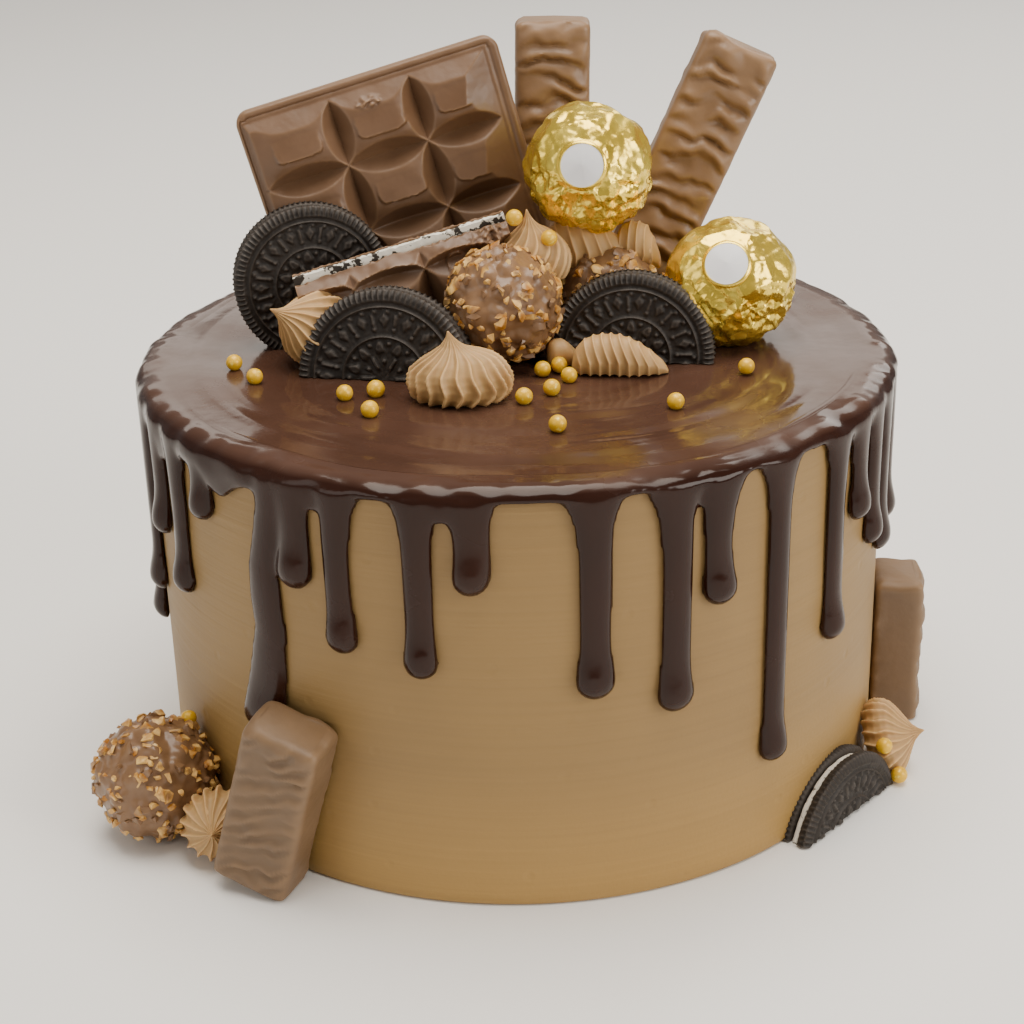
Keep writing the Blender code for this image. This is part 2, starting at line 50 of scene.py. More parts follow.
def make_camera():
    pitch, yaw, roll = 0.418, -0.004, -0.026
    place = (0, -0.518944, 0.295542)
    forward = Vector((math.sin(yaw) * math.cos(pitch), math.cos(yaw) * math.cos(pitch), -math.sin(pitch)))
    level = Vector((math.cos(yaw), -math.sin(yaw), 0))
    over = level.cross(forward)
    right = math.cos(roll) * level + math.sin(roll) * over
    up = right.cross(forward)
    data = bpy.data.cameras.new("camera")
    data.lens = 68.45
    data.sensor_width = 36.0
    camera = bpy.data.objects.new("camera", data)
    bpy.context.scene.collection.objects.link(camera)
    turn = Matrix((right, up, -forward)).transposed().to_4x4()
    camera.matrix_world = Matrix.Translation(place) @ turn
    bpy.context.scene.camera = camera


make_camera()


# Pale floor and soft studio light: a wide panel above, a pale wall and a window behind that
# the glaze reflects, and weak panels at both sides of the camera.

def linear(code):
    """An sRGB hex colour as linear red, green, blue and alpha."""
    channels = [int(code[i:i + 2], 16) / 255 for i in (0, 2, 4)]
    return tuple(c / 12.92 if c <= 0.04045 else ((c + 0.055) / 1.055) ** 2.4 for c in channels) + (1.0,)


def add(tree, kind, settings=None, inputs=None, **named):
    """Adds a shader node: settings are its properties; inputs, by number or by name, are values,
    hex colours or (node, output).
    """
    made = tree.nodes.new("ShaderNode" + kind)
    for key, value in (settings or {}).items():
        setattr(made, key, value)
    for key, value in {**(inputs or {}), **named}.items():
        if isinstance(value, tuple) and isinstance(value[0], bpy.types.Node):
            tree.links.new(value[0].outputs[value[1]], made.inputs[key])
        else:
            made.inputs[key].default_value = linear(value) if isinstance(value, str) else value
    return made


def new_material(name, colour, roughness, metallic=0.0, **inputs):
    """A material, its node tree, its Principled shader and the output for texture coordinates.

    More inputs of the shader may follow, with _ for each space in a name.
    """
    material = bpy.data.materials.new(name)
    material.use_nodes = True
    tree = material.node_tree
    shader = tree.nodes["Principled BSDF"]
    shader.inputs["Base Color"].default_value = linear(colour)
    shader.inputs["Roughness"].default_value = roughness
    shader.inputs["Metallic"].default_value = metallic
    for key, value in inputs.items():
        shader.inputs[key.replace("_", " ")].default_value = value
    return material, tree, shader, (add(tree, "TexCoord"), "Object")


def make_stage():
    half, below_base = 6.0, 0.0002
    data = bpy.data.meshes.new("floor")
    data.from_pydata([(-half, -half, 0), (half, -half, 0), (half, half, 0), (-half, half, 0)],
                     [], [(0, 1, 2, 3)])
    floor = bpy.data.objects.new("floor", data)
    bpy.context.scene.collection.objects.link(floor)
    floor.location.z = -below_base
    data.materials.append(new_material("matt_paper_floor", "f4f3f0", 0.9)[0])


def panel_light(name, place, aim, size, watts, colour="ffffff"):
    data = bpy.data.lights.new(name, "AREA")
    data.shape = "RECTANGLE"
    data.size, data.size_y = size
    data.energy = watts
    data.color = linear(colour)[:3]
    light = bpy.data.objects.new(name, data)
    bpy.context.scene.collection.objects.link(light)
    light.location = place
    light.rotation_euler = (Vector(aim) - Vector(place)).to_track_quat("-Z", "Y").to_euler()


def make_lights():
    middle = (0, 0, 0.12)
    panel_light("ceiling_panel", (0.05, 0.05, 1.5), middle, (1.2, 1.1), 33.0, "fff6ea")
    panel_light("back_window", (0.75, 1.15, 0.95), middle, (0.5, 0.8), 5.5, "fffaf2")
    panel_light("back_wall", (-0.2, 2.3, 0.95), middle, (2.4, 0.5), 7.0, "fff4e8")
    panel_light("left_panel", (-1.2, -0.9, 0.8), middle, (0.8, 0.8), 4.4, "fff8ef")
    panel_light("right_panel", (1.3, -0.8, 0.7), middle, (0.8, 0.8), 15.0, "fff8ef")
    world = bpy.data.worlds.new("studio")
    bpy.context.scene.world = world
    world.use_nodes = True
    back = world.node_tree.nodes["Background"]
    back.inputs["Color"].default_value = linear("f4f2ee")
    back.inputs["Strength"].default_value = 0.33


make_stage()
make_lights()


# The cake itself is a stack of sponge layers under chocolate buttercream that was scraped
# smooth with a comb's straight edge, and it stands on its flat base.

MM = 0.001
CAKE_RADIUS = 103.0
CAKE_HEIGHT = 114.0


def as_mesh(name, points, faces):
    """A mesh from points in millimetres, with its faces turned outwards."""
    data = bpy.data.meshes.new(name)
    data.from_pydata((np.asarray(points, float) * MM).tolist(), [], faces)
    mesh = bmesh.new()
    mesh.from_mesh(data)
    bmesh.ops.recalc_face_normals(mesh, faces=mesh.faces)
    mesh.to_mesh(data)
    mesh.free()
    return data


def grid_faces(rows, columns, wrap=True, capped=True, first=0):
    """Quads of a grid of points; wrap joins the ends of each row, capped closes both ends."""
    index = first + np.arange(rows * columns).reshape(rows, columns)
    ends = [index[0][::-1].tolist(), index[-1].tolist()] if capped else []
    if wrap:
        index = np.hstack([index, index[:, :1]])
    quads = np.stack([index[:-1, :-1], index[:-1, 1:], index[1:, 1:], index[1:, :-1]], -1)
    return quads.reshape(-1, 4).tolist() + ends


def show(data, material, nodes, sharp=None):
    """Puts a mesh in the scene in place of its CAD nodes, smooth but for edges over an angle."""
    piece = bpy.data.objects.new(data.name, data)
    bpy.context.scene.collection.objects.link(piece)
    data.shade_smooth()
    if sharp:
        data.set_sharp_from_angle(angle=math.radians(sharp))
    data.materials.append(material)
    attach(piece, "root")
    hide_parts(*nodes)


def wave(x, y, z=0.0, seed=0.0):
    """Smooth noise between about -1 and 1."""
    return noise.noise(Vector((x + 17.3 * seed, y - 9.1 * seed, z + 5.7 * seed)))


def turned(profile, columns):
    """Goes round a profile of radii and heights: each radius, height and angle in turn."""
    for radius, height in profile:
        for k in range(columns):
            yield radius, height, 2 * math.pi * k / columns


def pattern(size):
    """The scale of a texture whose marks are this many millimetres across."""
    return 1 / (size * MM)


def connect(tree, shader, normal, colour=None, roughness=None):
    """Links the last nodes of a material's normal, colour and roughness to its shader."""
    tree.links.new(normal.outputs[0], shader.inputs["Normal"])
    if colour:
        tree.links.new(colour.outputs[2], shader.inputs["Base Color"])
    if roughness:
        tree.links.new(roughness.outputs[0], shader.inputs["Roughness"])


# The setting of a node that mixes two colours.
COLOURS = {"data_type": "RGBA"}


def scraped_buttercream():
    """Chocolate buttercream, matt, with the faint level lines of the scraper, small pits, and a painted
    reflection that warms its foot.
    """
    material, tree, shader, where = new_material("scraped_chocolate_buttercream", "a98a62", 0.55)
    stretch = (pattern(111), pattern(111), pattern(1.54))
    level = add(tree, "Mapping", Vector=where, Scale=stretch)
    lines = add(tree, "TexNoise", Vector=(level, 0), Scale=1.0, Detail=3.0)
    cloud = add(tree, "TexNoise", Vector=where, Scale=pattern(45.5), Detail=3.0)
    pits = add(tree, "TexVoronoi", Vector=where, Scale=pattern(10.5))
    pit = add(tree, "MapRange", inputs={0: (pits, "Distance"), 1: 0.05, 2: 0.16})
    grain = add(tree, "TexNoise", Vector=where, Scale=pattern(1.11), Detail=2.0)
    tone = add(tree, "Mix", COLOURS, {0: (cloud, 0), 6: "8b6d40", 7: "9a7b48"})
    # Painted reflection: warmer and lighter towards its foot, standing in for the light that a gold cake
    # board under it would throw up onto the side.
    height = add(tree, "SeparateXYZ", Vector=where)
    low = add(tree, "MapRange", inputs={0: (height, "Z"), 1: 40 * MM, 2: 4 * MM, 4: 0.8})
    painted_board_reflection = add(tree, "Mix", COLOURS, {0: (low, 0), 6: (tone, 2), 7: "b38d4c"})
    lined = add(tree, "Mix", {"data_type": "RGBA", "blend_type": "MULTIPLY"},
                {0: 0.16, 6: (painted_board_reflection, 2), 7: (lines, 0)})
    fine = add(tree, "Bump", Strength=0.12, Distance=0.4 * MM, Height=(grain, 0))
    scraped = add(tree, "Bump", Strength=0.35, Distance=0.6 * MM, Height=(lines, 0), Normal=(fine, 0))
    dented = add(tree, "Bump", Strength=0.25, Distance=0.6 * MM, Height=(pit, 0), Normal=(scraped, 0))
    connect(tree, shader, dented, lined)
    return material


def make_body():
    columns, steps, cap, bevel = 220, 56, 60.0, 1.0
    wall = CAKE_HEIGHT - 2 * bevel
    profile = [(cap, 0.0), (CAKE_RADIUS - bevel, 0.0), (CAKE_RADIUS - 0.3, 0.3)]
    profile += [(CAKE_RADIUS, bevel + wall * i / steps) for i in range(steps + 1)]
    profile += [(CAKE_RADIUS - 0.6, CAKE_HEIGHT), (cap, CAKE_HEIGHT)]
    points = []
    for radius, height, angle in turned(profile, columns):
        c, s = math.cos(angle), math.sin(angle)
        # The two flat faces stay level and round.
        on_wall = 0.5 < height < CAKE_HEIGHT - 0.5
        reach = radius - 0.1 + on_wall * 0.25 * wave(c * 2.4, s * 2.4, height / 34)
        points.append((reach * c, reach * s, height))
    data = as_mesh("cake_body_buttercream", points, grid_faces(len(profile), columns))
    show(data, scraped_buttercream(), ["cake_body"], sharp=50)


make_body()


# Dark chocolate ganache: poured on the top, spread with a spatula so that it rolled over the
# edge, and run down the side in drips. It set glossy. Gold sugar pearls lie on it.

GANACHE_TOP = 117.0
GAP = 0.3
REST_TOP = GANACHE_TOP + GAP
REST_FOOT = GAP
# The rolled rim starts at this radius and comes down just outside the cake's side.
RING_FROM = 93.0
SIDE = CAKE_RADIUS + GAP
# Drips that show: azimuth in degrees from the front towards +X, height of the tip, width.
FRONT_DRIPS = [(-74, 57, 8.6), (-66, 80, 8.2), (-58.5, 68, 8.4), (-51, 94, 8.0), (-39.8, 39.5, 11.0),
               (-32.6, 84.5, 9.6), (-24.9, 69.5, 8.4), (-13.8, 65.5, 8.4), (-7.0, 88.8, 9.0),
               (9.7, 59.5, 9.6), (21.0, 52.5, 9.4), (28.2, 79.3, 9.2), (38.3, 28.5, 8.6),
               (51.4, 55.0, 8.6), (58.0, 84.8, 8.2), (64.5, 73.0, 8.4), (71.5, 66.0, 8.8)]
BACK_DRIPS_FROM, BACK_DRIPS_TO, BACK_DRIP_COUNT = 80.0, 278.0, 15
# The rim's lower edge between drips: azimuth, height; then webs that join two drips.
RIM_EDGE = [(-180, 110.5), (-120, 109.5), (-70, 108.3), (-42, 108.6), (-19, 112.2), (0, 112.9),
            (15, 113.4), (45, 112.8), (90, 111.5), (140, 111.0), (180, 110.5)]
WEBS = [(-62.0, 4.0, 5.0), (-45.5, 3.2, 5.0), (-28.9, 3.0, 3.6), (-10.6, 3.6, 5.0), (9.7, 4.5, 1.2),
        (24.6, 3.6, 1.6), (54.2, 3.0, 2.2), (68.0, 3.4, 2.2)]


def all_drips():
    draw = random.Random(11)
    drips = list(FRONT_DRIPS)
    step = (BACK_DRIPS_TO - BACK_DRIPS_FROM) / (BACK_DRIP_COUNT - 1)
    for i in range(BACK_DRIP_COUNT):
        azimuth = BACK_DRIPS_FROM + step * i + draw.uniform(-2.2, 2.2)
        drips.append((azimuth, draw.uniform(36, 94), draw.uniform(7.2, 9.0)))
    return drips


def around(azimuth, reach, height):
    angle = math.radians(azimuth)
    return (reach * math.sin(angle), -reach * math.cos(angle), height)


def rim_edge(azimuth):
    """Height of the rim's lower edge."""
    at = (azimuth + 180) % 360 - 180
    low = float(np.interp(at, [a for a, _ in RIM_EDGE], [z for _, z in RIM_EDGE]))
    for middle, width, drop in WEBS:
        low -= drop * math.exp(-((at - middle) / width) ** 2)
    c, s = math.cos(math.radians(at)), math.sin(math.radians(at))
    return low + 0.5 * wave(c * 9, s * 9, 1.0)


def rim_ring(first):
    """The closed ring of ganache that rolls over the cake's edge."""
    columns = 540
    points = []
    for i in range(columns):
        azimuth = 360 * i / columns
        c, s = math.cos(math.radians(azimuth)), math.sin(math.radians(azimuth))
        low = rim_edge(azimuth)
        out = 0.8 * wave(c * 5, s * 5, 4.0) + 0.9 * wave(c * 12, s * 12, 8.0)
        bead = 0.9 * wave(c * 9, s * 9, 12.0) + 0.6 * wave(c * 21, s * 21, 15.0)
        top, under = GANACHE_TOP, CAKE_HEIGHT + GAP
        section = [(RING_FROM, top), (97.5, top), (100.6, top - 0.2 + bead * 0.6),
                   (103.2 + out * 0.4, top - 0.8 + bead), (105.0 + out, top - 2.2 + bead * 0.6),
                   (105.6 + out, (top - 3.0 + low) / 2 + 0.6), (105.1 + out * 0.7, low + 0.7),
                   (104.2, low - 0.1), (SIDE, low + 0.2), (SIDE, under), (RING_FROM, under)]
        points += [around(azimuth, r, z) for r, z in section]
    count = len(section)
    faces = grid_faces(columns, count, capped=False, first=first)
    last = first + (columns - 1) * count
    faces += [(last + k, last + (k + 1) % count, first + (k + 1) % count, first + k) for k in range(count)]
    return points, faces


# Melting them together thins the runs, so they are drawn this much wider.
DRIP_SPREAD = 1.09
WIDE_DRIP = -39.8
# The widest run in front swerves as it goes down: share of its length, aside, share of its width.
SWERVE = [(0.0, 7.5, 0.6), (0.10, 7.0, 0.66), (0.34, 3.0, 0.84), (0.46, 3.2, 0.94), (0.58, 3.8, 0.90),
          (0.76, 1.6, 1.14), (0.90, -0.4, 1.24), (1.0, -4.2, 0.86)]


def drip(azimuth, tip, width, sway, first):
    """One closed run of ganache: flared at the rim, a narrow neck, a heavy round end."""
    start = GANACHE_TOP - 3.2
    half = DRIP_SPREAD * width / 2
    length = start - tip
    rows, columns = 46, 20
    shares, asides, necks = zip(*SWERVE)
    points = []
    for i in range(rows):
        # Rows crowd towards the round end.
        share = 1 - (1 - i / (rows - 1)) ** 1.35 if i else 0.0
        down = length * share
        left = length - down
        swell = math.exp(-((left - half) / 5.5) ** 2)
        round_off = math.sqrt(max(0.0, 1 - (1 - min(1.0, left / half)) ** 2))
        flare = 4.5 * math.exp(-down / 5.2)
        if azimuth == WIDE_DRIP:
            bend = np.interp(share, shares, asides)
            neck = np.interp(share, shares, necks)
        else:
            bend = sway * (math.sin(math.pi * share) * (1 + 0.4 * math.sin(down / 9)) + 0.5 * share)
            neck = 0.84 + 0.16 * swell
        half_width = max(0.03, half * neck * round_off * (1 + 0.05 * wave(down / 9, azimuth)) + flare)
        thick = max(0.03, (2.5 + 1.7 * swell) * round_off)
        for k in range(columns):
            turn = 2 * math.pi * k / columns
            bulge = max(-0.12, math.sin(turn))
            aside = bend + half_width * math.cos(turn)
            points.append(around(azimuth + math.degrees(aside / SIDE), SIDE + thick * bulge, start - down))
    return points, grid_faces(rows, columns, first=first)


def glaze_relief(x, y):
    """Low ridges that the spatula left, in arcs about the cake's middle."""
    reach = math.hypot(x, y)
    c, s = x / max(reach, 1.0), y / max(reach, 1.0)
    inner = min(1.0, reach / 20)
    drift = 6.0 * wave(c * 0.9, s * 0.9, 2.0)
    out = reach + drift
    arcs = wave(out / 8.0, c * 1.3, s * 1.3) + 0.6 * wave(out / 3.2, c * 2.4, s * 2.4)
    fine = wave(out / 1.7, c * 5.0, s * 5.0) * max(0.0, 0.4 + wave(x / 18, y / 18, 3.0))
    return inner * (0.50 * arcs + 0.17 * fine) + 0.24 * wave(x / 24, y / 24, 7.0)


def melted(points, faces):
    """Fuses the rim and the runs into one skin, and softens their joins."""
    data = as_mesh("unmelted_ganache", points, faces)
    melt = bpy.data.objects.new("melt", data)
    bpy.context.scene.collection.objects.link(melt)
    fuse = melt.modifiers.new("fuse", "REMESH")
    fuse.mode = "VOXEL"
    fuse.voxel_size = 0.88 * MM
    soften = melt.modifiers.new("soften", "SMOOTH")
    soften.factor = 0.5
    soften.iterations = 7
    graph = bpy.context.evaluated_depsgraph_get()
    fused = bpy.data.meshes.new_from_object(melt.evaluated_get(graph))
    bpy.data.objects.remove(melt, do_unlink=True)
    fused.name = "ganache_glaze"
    return fused


def glaze_sheet():
    """The sheet inside the rim; its wandering edge dips into the rim's top."""
    columns, step, level = 260, 1.5, GANACHE_TOP + 0.02
    radii = [0.8 + step * i for i in range(int((RING_FROM + 1.0) / step))]
    points = [around(360 * k / columns, r, level) for r in radii for k in range(columns)]
    for k in range(columns):
        turn = 2 * math.pi * k / columns
        reach = RING_FROM + 3.4 + 2.6 * wave(2.4 * math.cos(turn), 2.4 * math.sin(turn), 4.0)
        points.append(around(360 * k / columns, reach, level))
    faces = grid_faces(len(radii) + 1, columns, capped=False) + [list(range(columns))]
    sheet = bpy.data.meshes.new("sheet")
    sheet.from_pydata((np.array(points) * MM).tolist(), [], faces)
    return sheet


def dark_ganache():
    """Set dark ganache: nearly black in the runs, glossy, with duller patches. On top it is browner
    where it was spread thin, and lighter and greyer as painted sheen from the ceiling lights."""
    material, tree, shader, where = new_material("dark_chocolate_ganache", "2c1a13", 0.16, Coat_Weight=0.13,
                                                 Coat_Roughness=0.06, Specular_IOR_Level=0.19)
    cloud = add(tree, "TexNoise", Vector=where, Scale=pattern(26.3), Detail=5.0)
    dull = add(tree, "MapRange", inputs={0: (cloud, 0), 1: 0.35, 2: 0.65, 3: 0.11, 4: 0.29})
    # Painted sheen: above the rim's fall the colour turns lighter and greyer, partly as the thin spread on
    # top and partly standing in for the reflection of the ceiling lights.
    level = add(tree, "SeparateXYZ", Vector=where)
    thin = add(tree, "MapRange", inputs={0: (level, "Z"), 1: (GANACHE_TOP - 1.8) * MM,
                                         2: (GANACHE_TOP - 0.2) * MM})
    run = add(tree, "Mix", COLOURS, {0: (cloud, 0), 6: "200d06", 7: "30170c"})
    top = add(tree, "Mix", COLOURS, {0: (cloud, 0), 6: "38231a", 7: "593f32"})
    tint = add(tree, "Mix", COLOURS, {0: (thin, 0), 6: (run, 2), 7: (top, 2)})
    ripple = add(tree, "TexNoise", Vector=where, Scale=pattern(6.25), Detail=2.0)
    bump = add(tree, "Bump", Strength=0.12, Distance=0.8 * MM, Height=(ripple, 0))
    connect(tree, shader, bump, tint, dull)
    return material


def make_ganache():
    points, faces = rim_ring(0)
    draw = random.Random(5)
    for azimuth, tip, width in all_drips():
        more, quads = drip(azimuth, tip, width, draw.uniform(-0.8, 0.8), len(points))
        points += more
        faces += quads
    fused = melted(points, faces)
    # The relief fades out where the rim starts to fall away.
    fade_level, fade_height, fade_reach, fade_width = 114.6, 2.0, 106.0, 4.0
    mesh = bmesh.new()
    mesh.from_mesh(fused)
    mesh.from_mesh(glaze_sheet())
    for vertex in mesh.verts:
        x, y, z = vertex.co / MM
        hold = min(1.0, max(0.0, (z - fade_level) / fade_height))
        hold *= min(1.0, max(0.0, (fade_reach - math.hypot(x, y)) / fade_width))
        if hold > 0:
            vertex.co.z += hold * glaze_relief(x, y) * MM
    # The sheet's faces look up, as the rim's do.
    for face in mesh.faces:
        if face.normal.z < -0.9 and face.calc_center_median().z > (GANACHE_TOP - 1.6) * MM:
            face.normal_flip()
    mesh.to_mesh(fused)
    mesh.free()
    show(fused, dark_ganache(), ["ganache"])


# Gold pearls strewn on the ganache, and those that lie on creams and on a nut ball: rolled
# sugar with a shimmering gold coat, held where they sank in a little.

PEARL_RADIUS = 2.3
TOP_PEARLS = [(-76.7, -16.5), (-69.8, -28.1), (-44.7, -42.4), (-36.7, -40.1), (-37.4, -54.8), (2.0, -48.1),
              (7.2, -27.9), (11.7, -24.7), (14.1, -33.1), (9.3, -42.2), (10.1, -68.1), (40.6, -54.4),
              (61.5, -29.5)]
SWEET_PEARLS = [(0.6, -7.2, 155.0), (9.9, -8.7, 149.5), (100.3, -49.4, 12.8), (105.2, -48.4, 2.7),
                (-92.0, -53.2, 29.2)]


def speckled(name, base, roughness, size, detail, spread, tones, relief, metallic=0.0):
    """A material whose specks, of a size in millimetres, tint it and roughen it.

    spread is the noise's low and high level and the most that the second tone covers; relief
    is the strength and the depth in millimetres.
    """
    material, tree, shader, where = new_material(name, base, roughness, metallic)
    low, high, most = spread
    specks = add(tree, "TexNoise", Vector=where, Scale=pattern(size), Detail=detail)
    share = add(tree, "MapRange", inputs={0: (specks, 0), 1: low, 2: high, 4: most})
    tint = add(tree, "Mix", COLOURS, {0: (share, 0), 6: tones[0], 7: tones[1]})
    bump = add(tree, "Bump", Strength=relief[0], Distance=relief[1] * MM, Height=(specks, 0))
    connect(tree, shader, bump, tint)
    return material


def make_pearls():
    draw = random.Random(8)
    spots = [(x, y, REST_TOP + PEARL_RADIUS - 2 * GAP) for x, y in TOP_PEARLS] + SWEET_PEARLS
    mesh = bmesh.new()
    for spot in spots:
        radius = PEARL_RADIUS * draw.uniform(0.95, 1.04)
        ball = bmesh.ops.create_icosphere(mesh, subdivisions=4, radius=radius)
        seed = draw.uniform(0, 50)
        for vertex in ball["verts"]:
            uneven = 1 + 0.018 * wave(*(vertex.co * 0.9), seed)
            vertex.co = (vertex.co * uneven + Vector(spot)) * MM
    data = bpy.data.meshes.new("gold_sugar_pearls")
    mesh.to_mesh(data)
    mesh.free()
    # Sugar pearls with a shimmering gold coat, worn through in tiny specks.
    gold = speckled("gold_sugar_pearl", "efc64c", 0.34, 1.11, 4.0, (0.58, 0.68, 1.0),
                    ("ecb91f", "fbe06a"), (0.25, 0.3), 0.1)
    show(data, gold, ["ganache"])


make_ganache()
make_pearls()


# Milk chocolate, as the tablet, the filled piece and the bars are made of: satin, with a fine
# uneven skin, paler where it is rubbed along the edges.

def milk_chocolate(name, dark, pale, roughness, ripple_size, ripple):
    material, tree, shader, where = new_material(name, pale, roughness)
    cloud = add(tree, "TexNoise", Vector=where, Scale=pattern(14.3), Detail=4.0, Distortion=0.6)
    tint = add(tree, "Mix", COLOURS, {0: (cloud, 0), 6: linear(dark), 7: linear(pale)})
    shape = add(tree, "NewGeometry")
    rubbed = add(tree, "MapRange", inputs={0: (shape, "Pointiness"), 1: 0.50, 2: 0.58, 4: 0.45})
    edge = add(tree, "Mix", COLOURS, {0: (rubbed, 0), 6: (tint, 2), 7: "a88560"})
    dull = add(tree, "MapRange", inputs={0: (cloud, 0), 1: 0.3, 2: 0.7, 3: roughness - 0.08,
                                         4: roughness + 0.12})
    skin = add(tree, "TexNoise", Vector=where, Scale=pattern(ripple_size), Detail=4.0)
    bump = add(tree, "Bump", Strength=ripple, Distance=0.6 * MM, Height=(skin, 0))
    connect(tree, shader, bump, edge, dull)
    return material


def placed(points, spot, degrees):
    """Points in millimetres, turned about X, Y, then Z, and moved to their place."""
    turn = np.array(Euler([math.radians(d) for d in degrees], "XYZ").to_matrix())
    return np.asarray(points, float).reshape(-1, 3) @ turn.T + np.array(spot)


def stand_on(data, height):
    """Cuts a mesh flat where it stands on a level surface, as in the solid that it replaces."""
    mesh = bmesh.new()
    mesh.from_mesh(data)
    bmesh.ops.bisect_plane(mesh, geom=mesh.verts[:] + mesh.edges[:] + mesh.faces[:], dist=1e-7,
                           plane_co=(0, 0, height * MM), plane_no=(0, 0, -1), clear_outer=True)
    bmesh.ops.holes_fill(mesh, edges=[edge for edge in mesh.edges if edge.is_boundary], sides=0)
    mesh.to_mesh(data)
    mesh.free()
    return data


def ease(value, start, end):
    """0 below start, 1 above end, and smooth between them."""
    share = np.clip((value - start) / (end - start), 0, 1)
    return share * share * (3 - 2 * share)


# A piece of a milk chocolate tablet stands in the cake, three squares wide, with its flange
# along three sides. Each square has a low blank in its middle, and creased, lens-shaped valleys
# run between the squares.

def ragged(x, z, scale_x, scale_z, seed):
    """Noise over a grid of points."""
    levels = [wave(a / scale_x, b / scale_z, seed) for a, b in zip(x.ravel(), z.ravel())]
    return np.array(levels).reshape(x.shape)


def moulded_squares(at_x, at_z, cell_x, cell_z, rise, columns):
    """Height of moulded squares; at_x and at_z count the squares from a corner of the mould."""
    half_lens_x, half_lens_z, blank_x, blank_z, blank_edge = 4.1, 4.3, 7.2, 4.3, 0.4
    column, row = np.floor(at_x), np.floor(at_z)
    u, v = (at_x - column) * 2 - 1, (at_z - row) * 2 - 1
    a, b = u * cell_x / 2, v * cell_z / 2
    crown = 1 - 0.42 * ease((np.abs(u) ** 4 + np.abs(1.15 * v) ** 4) ** 0.25, 0.46, 1.15)
    lens_x = half_lens_x * np.clip(1 - v ** 2, 0, 1) ** 0.75 * ((at_x > 0.5) & (at_x < columns - 0.5))
    lens_z = half_lens_z * np.clip(1 - u ** 2, 0, 1) ** 0.75 * (at_z > 0.5)
    valley = np.maximum(lens_x - (cell_x / 2 - np.abs(a)), lens_z - (cell_z / 2 - np.abs(b)))
    height = rise * crown - 0.92 * np.clip(valley, 0, None)
    # The blank's upper edge melts into the square, its lower edge stands proud. No two lie alike.
    lower = b + 0.5 - 0.4 * np.sin(3 * column + row)
    aside = a + 0.5 * np.cos(2 * column + row)
    corner = (np.abs(aside) / blank_x) ** 5 + (np.abs(lower) / blank_z) ** 5
    chipped = 0.06 * ragged(at_x * cell_x, at_z * cell_z, 1.8, 1.8, 17.0)
    blank = np.clip((1 - corner ** 0.2 + chipped) * blank_z / blank_edge, 0, 1)
    return height + blank * (0.36 + 0.62 * np.clip(lower / blank_z, -0.6, 1))


def plate_points(width, length, corner, steps_x, steps_z):
    """A grid over a plate with rounded corners: x from its middle, z down from its top."""
    x, z = np.meshgrid(np.linspace(0, width, steps_x), np.linspace(0, length, steps_z))
    a = np.clip(np.maximum(corner - x, x - (width - corner)) / corner, 0, 1)
    b = np.clip(np.maximum(corner - z, z - (length - corner)) / corner, 0, 1)
    shrink = np.where((a > 0) & (b > 0), np.maximum(a, b) / np.maximum(np.hypot(a, b), 1e-6), 1)
    side_x = np.where(x < width / 2, 1, -1)
    side_z = np.where(z < length / 2, 1, -1)
    round_x = x + side_x * corner * a * (1 - shrink)
    round_z = z + side_z * corner * b * (1 - shrink)
    return x, z, round_x - width / 2, round_z


def plate_mesh(name, front, back, spot, turn):
    """Closes a grid of front points (rows, columns, 3) with a back at a level behind it."""
    rows, columns = front.shape[:2]
    index = np.arange(rows * columns).reshape(rows, columns)
    rim = np.concatenate([index[0], index[1:, -1], index[-1, -2::-1], index[-2:0:-1, 0]])
    points = front.reshape(-1, 3)
    behind = points[rim] * np.array([1, 0, 1]) + np.array([0, back, 0])
    count = len(rim)
    faces = grid_faces(rows, columns, wrap=False, capped=False)
    first = rows * columns
    for i in range(count):
        j = (i + 1) % count
        faces.append((int(rim[i]), int(rim[j]), first + j, first + i))
    faces.append(list(range(first, first + count)))
    return as_mesh(name, placed(np.vstack([points, behind]), spot, turn), faces)


def make_slab(chocolate):
    width, rows, columns, row, margin, rise = 76.0, 4, 3, 19.4, 3.2, 4.4
    broken_margin, wide_margin, ledge_height, edge_radius = 1.6, 4.4, 0.95, 0.9
    length = rows * row + 2 * margin
    x, z, px, pz = plate_points(width, length, 4.0, 240, 250)
    column = (width - 2 * margin) / columns
    squares = moulded_squares((x - margin) / column, (z - margin) / row, column, row, rise, columns)
    # The flange is a flat rim with a fine groove; the outer squares slope up from it.
    left, right = x * margin / broken_margin, (width - x) * margin / wide_margin
    border = np.minimum.reduce([left, right, z, length - z])
    ledge = ledge_height - 0.40 * np.exp(-((border - 0.62 * margin) / 0.30) ** 2)
    slope = ledge + 0.66 * np.clip(border - margin, 0, None)
    rounded = 0.8 * np.clip(1 - border / edge_radius, 0, 1) ** 2
    height = np.where(border < margin, ledge, np.minimum(squares, slope)) - rounded
    height = height + 0.26 * ragged(x, z, 6, 6, 3.0) + 0.035 * ragged(x, z, 1.4, 1.4, 9.0)
    # A knock on the top middle square left a small torn spot.
    knock_x, knock_z, knock_wide, knock_high = 37.0, 7.2, 3.6, 1.5
    knock = 1.2 - ((x - knock_x) / knock_wide) ** 2 - ((z - knock_z) / knock_high) ** 2
    knock = np.clip(knock + 0.8 * ragged(x, z, 1.8, 1.2, 5.0), 0, 1)
    height = height + knock * (0.6 + 1.5 * ragged(x, z, 1.6, 0.9, 6.0))
    front = np.stack([px, -height, -pz], -1)
    data = plate_mesh("milk_chocolate_tablet", front, 3.6, (-40.1, 23.0, 188.6), (-5.5, -14.3, 9.0))
    show(stand_on(data, REST_TOP), chocolate, ["chocolate_slab"], sharp=60)


tablet_chocolate = milk_chocolate("milk_chocolate_tablet", "604530", "785a41", 0.43, 3.85, 0.16)
make_slab(tablet_chocolate)


# A broken piece of a filled tablet leans behind the cookies: moulded squares in front, a white
# cream filling full of dark cookie crumbs, and a thin shell behind. Its break shows on top.

